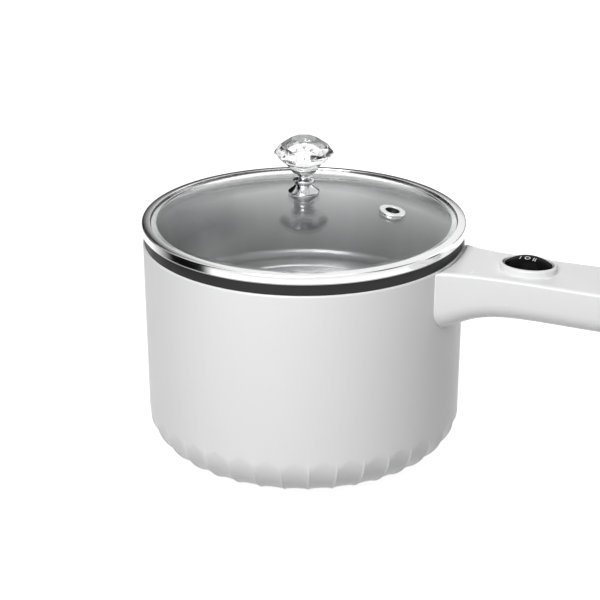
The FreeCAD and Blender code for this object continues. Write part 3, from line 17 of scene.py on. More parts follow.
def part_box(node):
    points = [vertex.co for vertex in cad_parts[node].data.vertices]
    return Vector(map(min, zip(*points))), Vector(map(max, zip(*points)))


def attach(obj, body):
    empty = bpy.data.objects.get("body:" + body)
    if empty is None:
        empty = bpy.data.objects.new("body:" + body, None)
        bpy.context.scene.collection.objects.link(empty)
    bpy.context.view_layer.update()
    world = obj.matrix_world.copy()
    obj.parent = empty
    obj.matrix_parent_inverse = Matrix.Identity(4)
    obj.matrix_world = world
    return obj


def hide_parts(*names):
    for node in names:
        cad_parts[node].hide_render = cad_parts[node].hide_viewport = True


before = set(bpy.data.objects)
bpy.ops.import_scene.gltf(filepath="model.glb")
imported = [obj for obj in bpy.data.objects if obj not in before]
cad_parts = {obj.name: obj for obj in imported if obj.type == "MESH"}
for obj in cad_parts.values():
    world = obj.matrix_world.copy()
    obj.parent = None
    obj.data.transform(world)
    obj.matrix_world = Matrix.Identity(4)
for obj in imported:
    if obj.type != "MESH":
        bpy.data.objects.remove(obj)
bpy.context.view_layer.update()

MM = 0.001
TURN = 2 * math.pi
ROUND_STEPS = 288

Colour = tuple[float, float, float]
Corner = tuple[float, float, float]
Point = tuple[float, float]
Value = bpy.types.NodeSocket | float | Sequence[float]

log = logging.getLogger("hot_pot")


class Rider(Enum):
    """The bodies of the frame that pieces ride on."""

    POT = "pot"
    LID = "lid"
    ROCKER = "rocker"


class Brushing(Enum):
    """How a metal's fine lines run."""

    NONE = "none"
    ROUND = "round"


# Shapes


def span(node: str) -> tuple[Vector, Vector]:
    """Lowest and highest corners of a node of the frame.

    Args:
        node: The node's name.

    Returns:
        The two corners, in millimetres.
    """
    low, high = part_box(node)
    return Vector(low) / MM, Vector(high) / MM


def rounded(corners: Sequence[Corner], closed: bool = True, steps: int = 6) -> list[Point]:
    """Outline whose corners are turned into arcs.

    Args:
        corners: Corners as (first, second, radius), radius 0 for a sharp one.
        closed: Whether the last corner joins the first.
        steps: Number of straight pieces in each arc.

    Returns:
        The points of the outline in order.
    """
    points: list[Point] = []
    count = len(corners)
    for index, (a, b, radius) in enumerate(corners):
        here = Vector((a, b))
        if radius <= 0 or (not closed and index in (0, count - 1)):
            points.append((a, b))
            continue
        back = Vector(corners[index - 1][:2]) - here
        ahead = Vector(corners[(index + 1) % count][:2]) - here
        reach = radius / math.tan(back.angle(ahead) / 2)
        start = here + back.normalized() * reach
        end = here + ahead.normalized() * reach
        middle = here + (back.normalized() + ahead.normalized()).normalized() * math.hypot(reach, radius)
        sweep = (start - middle).angle_signed(end - middle)
        for step in range(steps + 1):
            turned = Matrix.Rotation(-sweep * step / steps, 2) @ (start - middle)
            points.append(tuple(middle + turned))
    return points


def spun(outline: Sequence[Point], closed: bool = True, steps: int = ROUND_STEPS) -> bmesh.types.BMesh:
    """Solid of revolution about the pot's axis.

    Args:
        outline: Points as (radius, height).
        closed: Whether the outline closes on itself, or runs from the axis to the axis.
        steps: Number of faces round the axis.

    Returns:
        The mesh, with its faces pointing outwards.
    """
    bm = bmesh.new()
    verts = [bm.verts.new((r, 0, z)) for r, z in outline]
    ends = verts[1:] + verts[:1] if closed else verts[1:]
    edges = [bm.edges.new(pair) for pair in zip(verts, ends)]
    bmesh.ops.spin(bm, geom=verts + edges, cent=(0, 0, 0), axis=(0, 0, 1), angle=TURN, steps=steps,
                   use_merge=True)
    bmesh.ops.remove_doubles(bm, verts=bm.verts, dist=0.001)
    bmesh.ops.recalc_face_normals(bm, faces=bm.faces)
    return bm


def lofted(rings: Sequence[Sequence[Vector]]) -> bmesh.types.BMesh:
    """Closed skin through rings that have the same number of points.

    Args:
        rings: The rings, in order along the piece.

    Returns:
        The mesh, closed at both ends.
    """
    bm = bmesh.new()
    loops = []
    for ring in rings:
        verts = [bm.verts.new(point) for point in ring]
        loops.append([bm.edges.new(pair) for pair in zip(verts, verts[1:] + verts[:1])])
    for low, high in zip(loops, loops[1:]):
        bmesh.ops.bridge_loops(bm, edges=low + high)
    for loop in (loops[0], loops[-1]):
        bmesh.ops.edgeloop_fill(bm, edges=loop)
    bmesh.ops.recalc_face_normals(bm, faces=bm.faces)
    return bm


def cylinder(radius: float, low: Vector, high: Vector, steps: int = 48) -> bmesh.types.BMesh:
    """Plain rod between two points, used to cut holes.

    Args:
        radius: The rod's radius.
        low: One end.
        high: The other end.
        steps: Number of sides.

    Returns:
        The mesh.
    """
    bm = bmesh.new()
    run = high - low
    turn = run.to_track_quat("Z", "Y").to_matrix().to_4x4()
    place = Matrix.Translation((low + high) / 2) @ turn
    bmesh.ops.create_cone(bm, cap_ends=True, segments=steps, radius1=radius, radius2=radius,
                          depth=run.length, matrix=place)
    return bm


def as_mesh(bm: bmesh.types.BMesh, name: str) -> bpy.types.Mesh:
    """Turn a mesh in the making into mesh data in metres, and free it."""
    bmesh.ops.scale(bm, vec=(MM, MM, MM), verts=bm.verts)
    mesh = bpy.data.meshes.new(name)
    bm.to_mesh(mesh)
    bm.free()
    return mesh


def carved(body: bmesh.types.BMesh, cutters: Sequence[bmesh.types.BMesh]) -> bmesh.types.BMesh:
    """Take solids away from a body.

    Args:
        body: The body, freed by this call.
        cutters: The solids to take away, freed by this call.

    Returns:
        The body with its holes.
    """
    piece = bpy.data.objects.new("body_in_work", as_mesh(body, "body_in_work"))
    bpy.context.scene.collection.objects.link(piece)
    tools = []
    for cutter in cutters:
        tool = bpy.data.objects.new("cutter", as_mesh(cutter, "cutter"))
        bpy.context.scene.collection.objects.link(tool)
        cut = piece.modifiers.new("cut", "BOOLEAN")
        cut.operation = "DIFFERENCE"
        cut.solver = "EXACT"
        cut.object = tool
        tools.append(tool)
    result = bmesh.new()
    result.from_object(piece, bpy.context.evaluated_depsgraph_get())
    for spare in [piece] + tools:
        data = spare.data
        bpy.data.objects.remove(spare)
        bpy.data.meshes.remove(data)
    bmesh.ops.scale(result, vec=(1 / MM, 1 / MM, 1 / MM), verts=result.verts)
    return result


# Finishes


class Nodes:
    """Shader nodes in the making."""

    def __init__(self, tree: bpy.types.NodeTree) -> None:
        """Empty a tree and keep hold of it."""
        tree.nodes.clear()
        self.tree = tree

    def link(self, source: bpy.types.NodeSocket, target: bpy.types.NodeSocket) -> None:
        """Join two sockets."""
        self.tree.links.new(source, target)

    def add(self, kind: str, sockets: dict[str | int, Value] | None = None, **settings: str) -> bpy.types.Node:
        """Add a node.

        Args:
            kind: The node's kind.
            sockets: Values for its sockets, or the sockets that feed them.
            settings: Its other settings.

        Returns:
            The node.
        """
        node = self.tree.nodes.new(f"ShaderNode{kind}")
        for name, value in settings.items():
            setattr(node, name, value)
        for name, value in (sockets or {}).items():
            if isinstance(value, bpy.types.NodeSocket):
                self.link(value, node.inputs[name])
            else:
                node.inputs[name].default_value = value
        return node

    def math(self, operation: str, first: Value, second: Value) -> bpy.types.NodeSocket:
        """Result of a math node on two sockets or numbers."""
        return self.add("Math", {0: first, 1: second}, operation=operation).outputs[0]

    def seen(self) -> bpy.types.NodeSocket:
        """Value that is 1 for what the camera, a mirror or a clear piece shows, and 0 for light."""
        path = self.add("LightPath").outputs
        direct = self.math("MAXIMUM", path["Is Camera Ray"], path["Is Transmission Ray"])
        return self.math("MAXIMUM", direct, path["Is Glossy Ray"])


class Graph(Nodes):
    """A node material in the making."""

    def __init__(self, name: str) -> None:
        """Start a material with one Principled shader."""
        self.material = bpy.data.materials.new(name)
        self.material.use_nodes = True
        super().__init__(self.material.node_tree)
        self.shader = self.add("BsdfPrincipled")
        self.output = self.add("OutputMaterial", {"Surface": self.shader.outputs[0]})
        self.places = self.add("TexCoord").outputs["Object"]

    def put(self, **values: float | Sequence[float]) -> None:
        """Set sockets of the shader, named with underscores for spaces."""
        for name, value in values.items():
            self.shader.inputs[name.replace("_", " ")].default_value = value

    def stretched(self, stretch: Corner) -> bpy.types.NodeSocket:
        """Object coordinates, stretched along the axes."""
        return self.add("Mapping", {"Vector": self.places, "Scale": stretch}).outputs["Vector"]

    def radius(self, scale: float) -> bpy.types.NodeSocket:
        """Distance from the pot's axis in metres, times a scale."""
        flat = self.add("VectorMath", {0: self.places, 1: (1, 1, 0)}, operation="MULTIPLY")
        length = self.add("VectorMath", {0: flat.outputs[0]}, operation="LENGTH")
        return self.math("MULTIPLY", length.outputs["Value"], scale)

    def polar(self, radial: float, upward: float, turning: float) -> bpy.types.NodeSocket:
        """Coordinates of distance from the axis, height and angle, each stretched.

        Args:
            radial: Scale of the distance from the axis.
            upward: Scale of the height.
            turning: Scale of the angle.

        Returns:
            The vector socket.
        """
        split = self.add("SeparateXYZ", {0: self.places}).outputs
        angle = self.math("ARCTAN2", split["Y"], split["X"])
        return self.add("CombineXYZ", {"X": self.radius(radial), "Y": self.math("MULTIPLY", angle, turning),
                                       "Z": self.math("MULTIPLY", split["Z"], upward)}).outputs[0]

    def noise(self, scale: float, detail: float = 3.0,
              places: bpy.types.NodeSocket | None = None) -> bpy.types.NodeSocket:
        """Value of a noise texture in object space, with its scale per metre."""
        sockets = {"Vector": places or self.places, "Scale": scale, "Detail": detail}
        return self.add("TexNoise", sockets).outputs["Fac"]

    def ranged(self, value: bpy.types.NodeSocket, low: float, high: float) -> bpy.types.NodeSocket:
        """A value of 0.3 to 0.7 carried over to a range, which suits noise."""
        sockets = {"Value": value, "From Min": 0.3, "From Max": 0.7, "To Min": low, "To Max": high}
        return self.add("MapRange", sockets).outputs["Result"]

    def hump(self, value: bpy.types.NodeSocket, middle: float, half: float) -> bpy.types.NodeSocket:
        """Value that is 1 at a middle and sinks softly to 0 on both sides."""
        away = self.math("ABSOLUTE", self.math("SUBTRACT", value, middle), 0.0)
        sockets = {"Value": away, "From Min": half, "From Max": 0.0}
        return self.add("MapRange", sockets, interpolation_type="SMOOTHSTEP").outputs["Result"]

    def tinted(self, value: bpy.types.NodeSocket, colour: Colour, change: float) -> None:
        """Give the shader a colour that a 0 to 1 value darkens a little."""
        darker = [part * (1 - change) for part in colour]
        mix = self.add("Mix", {"Factor": value, "A": (*darker, 1), "B": (*colour, 1)}, data_type="RGBA")
        self.link(mix.outputs["Result"], self.shader.inputs["Base Color"])

    def darken_as_painted_shade(self, value: bpy.types.NodeSocket, share: float) -> None:
        """Multiply the shader's colour by a share where a value is 1, which paints shade onto it."""
        colour = self.shader.inputs["Base Color"]
        sockets = {"Factor": value, "A": colour.links[0].from_socket, "B": (share, share, share, 1)}
        mix = self.add("Mix", sockets, data_type="RGBA", blend_type="MULTIPLY")
        self.link(mix.outputs["Result"], colour)

    def bumped(self, height: bpy.types.NodeSocket, depth_mm: float) -> None:
        """Raise the surface by a height value, as deep as a number of millimetres."""
        bump = self.add("Bump", {"Height": height, "Distance": depth_mm * MM, "Strength": 1.0})
        self.link(bump.outputs["Normal"], self.shader.inputs["Normal"])

    def mixed(self, share: bpy.types.NodeSocket, first: bpy.types.NodeSocket,
              second: bpy.types.NodeSocket) -> None:
        """Show a mix of two shaders."""
        mix = self.add("MixShader", {0: share, 1: first, 2: second})
        self.link(mix.outputs[0], self.output.inputs["Surface"])

    def through_for_lamps(self, tint: Colour) -> None:
        """Let light from lamps and from pale surfaces pass straight through the shader."""
        clear = self.add("BsdfTransparent", {"Color": (*tint, 1)})
        self.mixed(self.add("LightPath").outputs["Is Shadow Ray"], self.shader.outputs[0], clear.outputs[0])


class Finish:
    """A finish that makes its material once and hands it out."""

    made: dict[str, bpy.types.Material] = {}

    def material(self) -> bpy.types.Material:
        """The finish's material."""
        if self.name not in Finish.made:
            graph = Graph(self.name)
            self.fill(graph)
            Finish.made[self.name] = graph.material
        return Finish.made[self.name]


@dataclass(frozen=True)
class Moulded(Finish):
    """Moulded plastic, rubber or ceramic: even colour, fine grain and uneven gloss."""

    name: str
    colour: Colour
    roughness: float = 0.35
    spread: float = 0.06
    grain_mm: float = 0.004
    grain_scale: float = 2600.0
    change: float = 0.03
    shine: float = 0.5

    def fill(self, graph: Graph) -> None:
        """Set up the nodes."""
        graph.put(IOR=1.5, Specular_IOR_Level=self.shine)
        clouds = graph.noise(30.0)
        graph.tinted(graph.ranged(clouds, 0, 1), self.colour, self.change)
        uneven = graph.noise(90.0)
        low = max(self.roughness - self.spread, 0.02)
        graph.link(graph.ranged(uneven, low, self.roughness + self.spread), graph.shader.inputs["Roughness"])
        graph.bumped(graph.noise(self.grain_scale, 2.0), self.grain_mm)


@dataclass(frozen=True)
class Metal(Finish):
    """Bare metal, polished or with fine lines round the pot's axis, and with rings of painted shade where
    given.
    """

    name: str
    colour: Colour
    roughness: float = 0.2
    spread: float = 0.05
    brushing: Brushing = Brushing.NONE
    anisotropy: float = 0.0
    streaks: float = 0.1
    grain_mm: float = 0.002
    # Rings of painted shade: radius from the axis in mm, half width in mm and the share of colour kept.
    painted_shade_rings: tuple[tuple[float, float, float], ...] = ()

    def fill(self, graph: Graph) -> None:
        """Set up the nodes."""
        graph.put(Metallic=1.0, Anisotropic=self.anisotropy)
        low = max(self.roughness - self.spread, 0.02)
        if self.brushing is Brushing.ROUND:
            lines = graph.noise(1.0, 4.0, graph.polar(2600.0, 2600.0, 5.0))
            fans = graph.ranged(graph.noise(1.0, 2.0, graph.polar(6.0, 6.0, 3.0)), 0, 1)
            graph.tinted(fans, self.colour, self.streaks)
            tangent = graph.add("Tangent", direction_type="RADIAL", axis="Z")
            graph.link(tangent.outputs[0], graph.shader.inputs["Tangent"])
        else:
            lines = graph.noise(1.0, 3.0, graph.stretched((900.0, 900.0, 2600.0)))
            graph.tinted(graph.ranged(graph.noise(60.0), 0, 1), self.colour, self.streaks)
        # Painted shade: the colour is darkened in a soft ring about the axis.
        for radius, half, share in self.painted_shade_rings:
            graph.darken_as_painted_shade(graph.hump(graph.radius(1 / MM), radius, half), share)
        graph.link(graph.ranged(lines, low, self.roughness + self.spread), graph.shader.inputs["Roughness"])
        graph.bumped(lines, self.grain_mm)


@dataclass(frozen=True)
class Clear(Finish):
    """Clear glass or cut crystal, with faint marks of handling in its gloss."""

    name: str
    tint: Colour
    ior: float = 1.5
    roughness: float = 0.0
    smear: float = 0.02
    lets_lamps: bool = True

    def fill(self, graph: Graph) -> None:
        """Set up the nodes."""
        graph.put(Transmission_Weight=1.0, IOR=self.ior, Base_Color=(*self.tint, 1))
        marks = graph.noise(45.0, 4.0)
        graph.link(graph.ranged(marks, self.roughness, self.roughness + self.smear),
                   graph.shader.inputs["Roughness"])
        if self.lets_lamps:
            graph.through_for_lamps(self.tint)


BODY_WHITE = Moulded("body_white_plastic", (0.84, 0.84, 0.845), 0.32, 0.015, 0.0006, 500.0, 0.006)
HANDLE_WHITE = Moulded("handle_white_plastic", (0.80, 0.80, 0.805), 0.26, 0.015, 0.0006, 500.0, 0.006)
BASE_WHITE = Moulded("base_white_plastic", (0.78, 0.78, 0.78), 0.55, grain_mm=0.012)
RIM_BLACK = Moulded("rim_black_plastic", (0.012, 0.012, 0.013), 0.5, grain_mm=0.006, change=0.2,
                     shine=0.35)
ROCKER_BLACK = Moulded("rocker_gloss_black", (0.003, 0.003, 0.0035), 0.12, 0.04, 0.001, shine=0.03)
MARK_PAINT = Moulded("mark_pale_paint", (0.82, 0.82, 0.82), 0.5, grain_mm=0.002)
HOUSING_BLACK = Moulded("housing_black_plastic", (0.025, 0.025, 0.027), 0.42, grain_mm=0.010, change=0.3)
FOOT_RUBBER = Moulded("foot_dark_rubber", (0.09, 0.09, 0.09), 0.75, grain_mm=0.02, change=0.2)
SEAL_SILICONE = Moulded("seal_pale_silicone", (0.72, 0.72, 0.72), 0.45, grain_mm=0.004)
BEAD_CERAMIC = Moulded("bead_ceramic", (0.84, 0.82, 0.76), 0.3, grain_mm=0.01, change=0.08)
SLEEVE_BROWN = Moulded("sleeve_brown", (0.19, 0.08, 0.035), 0.5)
SLEEVE_BLUE = Moulded("sleeve_blue", (0.04, 0.12, 0.42), 0.5)
SLEEVE_GREEN = Moulded("sleeve_green", (0.2, 0.42, 0.05), 0.5)
# The pot's steel has a ring of painted shade at 79 mm. It darkens the corner where the floor turns up into the
# wall and dims a lamp's highlight there.
POT_STEEL = Metal("pot_brushed_steel", (0.47, 0.47, 0.475), 0.30, 0.02, Brushing.ROUND, 0.6, 0.30, 0.0004,
                  painted_shade_rings=((79.0, 7.0, 0.22),))
BAND_STEEL = Metal("band_polished_steel", (0.88, 0.88, 0.885), 0.12, 0.02, Brushing.ROUND, 0.3, 0.03, 0.0003)
# Painted shade: near-black rough steel for the lining of the vent's bore and for its bars, standing in for the
# shade inside the hole.
BORE_PAINTED_SHADE = Metal("vent_bore_shade_paint", (0.10, 0.10, 0.10), 0.5, 0.05, grain_mm=0.002)
VENT_STEEL = Metal("vent_satin_steel", (0.84, 0.84, 0.845), 0.30, 0.03, grain_mm=0.0006)
KNOB_CHROME = Metal("knob_chrome", (0.64, 0.64, 0.65), 0.04, 0.02, grain_mm=0.0003)
HEATER_ALLOY = Metal("heater_rolled_alloy", (0.66, 0.66, 0.67), 0.4, 0.08, grain_mm=0.01)
FIXING_ZINC = Metal("fixing_zinc_steel", (0.58, 0.58, 0.60), 0.32, 0.08, grain_mm=0.004)
CONTACT_PLATE = Metal("contact_plated_brass", (0.74, 0.70, 0.60), 0.25, 0.06)
LID_CLEAR = Clear("lid_tempered_glass", (0.955, 0.965, 0.965), 1.45)
KNOB_CLEAR = Clear("knob_cut_crystal", (0.985, 0.988, 0.99), 1.52, smear=0.01)


def finished(bm: bmesh.types.BMesh, name: str, finish: Finish, rider: Rider,
             nodes: Sequence[str] = (), sharp: float = 35.0) -> bpy.types.Object:
    """Make a piece of the visible model from its mesh.

    Args:
        bm: The mesh in millimetres, freed by this call.
        name: The piece's name.
        finish: What its surface is.
        rider: The body that it rides on.
        nodes: The nodes that it stands for.
        sharp: Angle in degrees past which an edge stays sharp.

    Returns:
        The piece.
    """
    mesh = as_mesh(bm, name)
    mesh.polygons.foreach_set("use_smooth", [True] * len(mesh.polygons))
    mesh.set_sharp_from_angle(angle=math.radians(sharp))
    mesh.materials.append(finish.material())
    piece = bpy.data.objects.new(name, mesh)
    bpy.context.scene.collection.objects.link(piece)
    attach(piece, rider.value)
    if nodes:
        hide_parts(*nodes)
    log.info("%s: %d faces", name, len(mesh.polygons))
    return piece


def dressed(finish: Finish, *nodes: str) -> None:
    """Give nodes of the frame their finish and keep their shape."""
    for node in nodes:
        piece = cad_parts[node]
        for holder in piece.material_slots:
            holder.material = finish.material()
        log.info("%s: kept, %s", node, finish.name)


# Sub-assemblies


@dataclass
class Casing:
    """White outer shell with flutes round its lower corner."""

    draft: float = 1.5
    corner: float = 27.0
    inner_corner: float = 23.6
    wall: float = 2.6
    floor_wall: float = 3.4
    edge: float = 1.2
    rim_w: float = 5.5
    ledge_in: float = 8.0
    ledge_t: float = 2.8
    cover_t: float = 2.6
    flutes: int = 36
    flute_phase: float = 5.0
    flute_in: float = 1.0
    flute_rise: float = 2.9
    flute_reach: float = 28.05
    flute_radius: float = 42.0
    crest_h: float = 0.3
    crest_w: float = 1.0
    crest_run: float = 0.4
    arc_steps: int = 30
    wall_rings: int = 14

    def __post_init__(self) -> None:
        """Read the shell's overall size from the frame."""
        low, high = span("outer_shell")
        self.base_z = low.z
        self.top_z = high.z
        self.top_radius = span("rim_ring")[1].x + RimRing.step_in
        self.foot_radius = self.top_radius - self.draft

    def outline(self) -> list[Point]:
        """Section of the shell: outside, top edge, inside and the ledge for the base cover."""
        low, top = self.base_z, self.top_z
        foot, head = self.foot_radius, self.top_radius
        opening = foot - self.corner - self.rim_w
        ledge = low + self.cover_t
        inner_low = low + self.floor_wall
        start = low + self.corner
        shares = [(index / self.wall_rings) ** 2 for index in range(1, self.wall_rings)]
        wall = [(foot + (head - foot) * share, start + (top - start) * share, 0) for share in shares]
        return rounded([(opening, low, 0), (foot, low, self.corner)] + wall + [
            (head, top, self.edge), (head - self.wall, top, self.edge / 4),
            (foot - self.wall, inner_low, self.inner_corner), (opening + self.rim_w, inner_low, 0),
            (opening + self.rim_w, ledge + self.ledge_t, 0),
            (opening - self.ledge_in, ledge + self.ledge_t, 0),
            (opening - self.ledge_in, ledge, 0), (opening, ledge, 0)], steps=self.arc_steps)

    def flute_floor(self, facing: Vector, sag: float) -> float:
        """Distance of a flute's surface from the corner's centre, in one direction of the section."""
        pivot = Vector((-self.flute_in, self.flute_rise))
        lean = facing.dot(pivot)
        return lean + math.sqrt((self.flute_reach + sag) ** 2 - pivot.length_squared + lean ** 2)

    def scooped(self, place: Vector) -> Vector:
        """Where a point of the outer corner lies once the flutes are scooped out.

        Args:
            place: The point on the plain corner.

        Returns:
            The point, moved towards the corner's centre by the depth of the flute there.
        """
        radius = math.hypot(place.x, place.y)
        centre = Vector((self.foot_radius - self.corner, self.base_z + self.corner))
        away = Vector((radius, place.z)) - centre
        outer = away.x >= 0 and away.y < 0.5 and away.length > self.corner - 0.5
        if not outer:
            return place
        pitch = TURN / self.flutes
        angle = math.atan2(place.y, place.x) - math.radians(self.flute_phase)
        across = radius * math.sin((angle % pitch) - pitch / 2)
        sag = self.flute_radius - math.sqrt(self.flute_radius ** 2 - across ** 2)
        facing = away.normalized()
        crest = max(1 - (radius * math.sin(pitch / 2) - abs(across)) / self.crest_w, 0)
        scoop = min(max(away.length - self.flute_floor(facing, 0), 0) / self.crest_run, 1)
        depth = min(away.length, self.flute_floor(facing, sag)) + self.crest_h * crest * scoop
        moved = centre + facing * depth
        share = moved.x / radius
        return Vector((place.x * share, place.y * share, moved.y))

    def build(self) -> None:
        """Spin the shell and scoop its flutes."""
        bm = spun(self.outline(), steps=self.flutes * 16)
        for vert in bm.verts:
            vert.co = self.scooped(vert.co)
        finished(bm, "casing", BODY_WHITE, Rider.POT, ["outer_shell"], 12.0)


@dataclass
class RimRing:
    """Black heat-proof ring under the pot's flange."""

    step_in: float = 0.7
    width: float = 3.8
    lip_h: float = 5.0
    lip_out: float = 1.7
    edge: float = 0.8

    def build(self) -> None:
        """Spin the ring with its rounded outer edge."""
        low, high = span("rim_ring")
        inner = high.x - self.width
        seat = low.z + self.lip_h
        outline = rounded([(inner, low.z, 0.2), (inner + self.lip_out, low.z, 0.4),
                           (inner + self.lip_out, seat, 0), (high.x, seat, 0.25),
                           (high.x, high.z, self.edge), (inner, high.z, 0.2)])
        finished(spun(outline), "rim_ring_black", RIM_BLACK, Rider.POT, ["rim_ring"])


@dataclass
class InnerPot:
    """Stainless pot with a flange and stamped rings in its floor."""

    sheet: float = 0.8
    mouth_in: float = 7.7
    wall_draft: float = 5.5
    depth: float = 49.7
    corner: float = 6.0
    rim_bend: float = 1.6
    bead_in: float = 15.6
    bead_w: float = 5.6
    bead_h: float = 0.9
    ramp: float = 1.2
    spot_in: float = 5.8
    spot_rise: float = 0.5

    def surface(self, grow: float) -> list[Corner]:
        """Corners of the pot's inside, or of its outside when grown by the sheet.

        Args:
            grow: How far outwards the surface lies from the inside.

        Returns:
            Corners from the axis to the wall's top.
        """
        high = span("inner_pot")[1]
        mouth = high.x - self.mouth_in
        wall = mouth - self.wall_draft
        floor = high.z - self.depth - grow
        bead_out = wall - self.bead_in
        bead_in = bead_out - self.bead_w
        spot = bead_in - self.spot_in
        soft = 1.0
        return [(0, floor + self.spot_rise, 0), (spot, floor + self.spot_rise, soft),
                (spot + self.ramp, floor, soft), (bead_in, floor, soft),
                (bead_in + self.ramp, floor + self.bead_h, soft),
                (bead_out - self.ramp, floor + self.bead_h, soft), (bead_out, floor, soft),
                (wall + grow, floor, self.corner + grow), (mouth + grow, high.z, self.rim_bend - grow)]

    def build(self) -> None:
        """Spin the pot's sheet: inside, flange and outside."""
        high = span("inner_pot")[1]
        inside = self.surface(0)
        outside = self.surface(self.sheet)
        outside[-1] = (outside[-1][0], high.z - self.sheet, outside[-1][2])
        flange = [(high.x, high.z, 0.3), (high.x, high.z - self.sheet, 0.3)]
        outline = rounded(inside + flange + outside[::-1], closed=False, steps=5)
        bm = spun(outline, closed=False)
        finished(bm, "pot_liner", POT_STEEL, Rider.POT, ["inner_pot"], 50.0)


@dataclass
class Lid:
    """Glass lid: steel band, glass, vent and knob."""

    sheet: float = 0.6
    skirt_h: float = 3.0
    skirt_in: float = 9.2
    top_w: float = 5.4
    crown: float = 0.5
    lean: float = 0.6
    edge: float = 1.0
    hem: float = 0.22

    def band(self) -> None:
        """Rolled steel band with its hems rounded."""
        low, high = span("lid_band")
        t = self.sheet
        seat = low.z + self.skirt_h
        skirt = high.x - self.skirt_in
        shoulder = high.x - self.lean
        inner = high.x - self.top_w
        outline = rounded([(skirt - t, low.z, self.hem), (skirt, low.z, self.hem), (skirt, seat, self.hem),
                           (high.x, seat, self.hem), (shoulder, high.z - self.crown, self.edge),
                           (inner, high.z, self.hem), (inner, high.z - t, self.hem),
                           (shoulder - t, high.z - t - self.crown, self.edge / 2),
                           (high.x - t, seat + t, self.hem), (skirt - t, seat + t, self.hem)])
        finished(spun(outline), "lid_band_rolled", BAND_STEEL, Rider.LID, ["lid_band"])

    def build(self) -> None:
        """Make the band and dress the glass and its fittings."""
        self.band()
        dressed(LID_CLEAR, "lid_glass")
        dressed(FIXING_ZINC, "knob_washer", "knob_screw")
        dressed(SEAL_SILICONE, "knob_seal")


@dataclass
class Vent:
    """Steel eyelet in the glass that lets steam out past two crossed bars."""

    place: Point = (53.3, 4.3)
    dome_radius: float = 254.9
    glass_t: float = 3.8
    flange: float = 7.7
    flange_t: float = 0.9
    collar: float = 6.2
    barrel: float = 5.6
    bore: float = 4.2
    bow: float = 0.12
    soft: float = 0.4
    bar_half: float = 0.65
    bar_top: float = -1.2
    bar_into: float = 0.2
    # Thickness of the dark lining in the bore, which is painted shade.
    shade_sleeve_t: float = 0.3

    def standing(self) -> Matrix:
        """Turn and shift that set the eyelet square to the glass."""
        reach = math.hypot(*self.place)
        apex = span("lid_glass")[1].z
        drop = self.dome_radius - math.sqrt(self.dome_radius ** 2 - reach ** 2)
        lean = Matrix.Rotation(math.asin(reach / self.dome_radius), 4, "Y")
        turn = Matrix.Rotation(math.atan2(self.place[1], self.place[0]), 4, "Z")
        return Matrix.Translation((*self.place, apex - drop)) @ turn @ lean

    def build(self) -> None:
        """Spin the eyelet, add a dark lining in its bore and its bars, both coloured as painted shade, and
        stand them in the glass.
        """
        low = -self.glass_t - self.bow - self.flange_t
        bore = self.bore + self.shade_sleeve_t
        outline = rounded([
            (bore, low, 0.1), (self.collar, low, self.soft), (self.collar, low + self.flange_t, 0.1),
            (self.barrel, low + self.flange_t, 0), (self.barrel, 0, 0), (self.flange, 0, 0.1),
            (self.flange, self.flange_t, self.soft), (self.bore, self.flange_t, self.soft / 2),
            (self.bore, self.flange_t / 2, 0), (bore, self.flange_t / 2, 0)])
        eyelet = spun(outline, steps=96)
        bmesh.ops.transform(eyelet, matrix=self.standing(), verts=eyelet.verts)
        finished(eyelet, "vent_eyelet", VENT_STEEL, Rider.LID, ["vent_grommet"], 40.0)
        # The lining and the bars are near-black, as painted shade inside the hole.
        lip = self.flange_t / 2
        painted_shade_lining = spun([(self.bore, low), (bore, low), (bore, lip), (self.bore, lip)], steps=96)
        drop = Matrix.Translation((0, 0, self.bar_top - self.bar_half / 2))
        size = Matrix.Diagonal((2 * self.bore + self.bar_into, 2 * self.bar_half, self.bar_half, 1))
        for angle in (0, TURN / 4):
            bmesh.ops.create_cube(painted_shade_lining, size=1.0, matrix=Matrix.Rotation(angle, 4, "Z") @ drop @ size)
        bmesh.ops.transform(painted_shade_lining, matrix=self.standing(), verts=painted_shade_lining.verts)
        finished(painted_shade_lining, "vent_bore_bars_shade_paint", BORE_PAINTED_SHADE, Rider.LID, sharp=40.0)


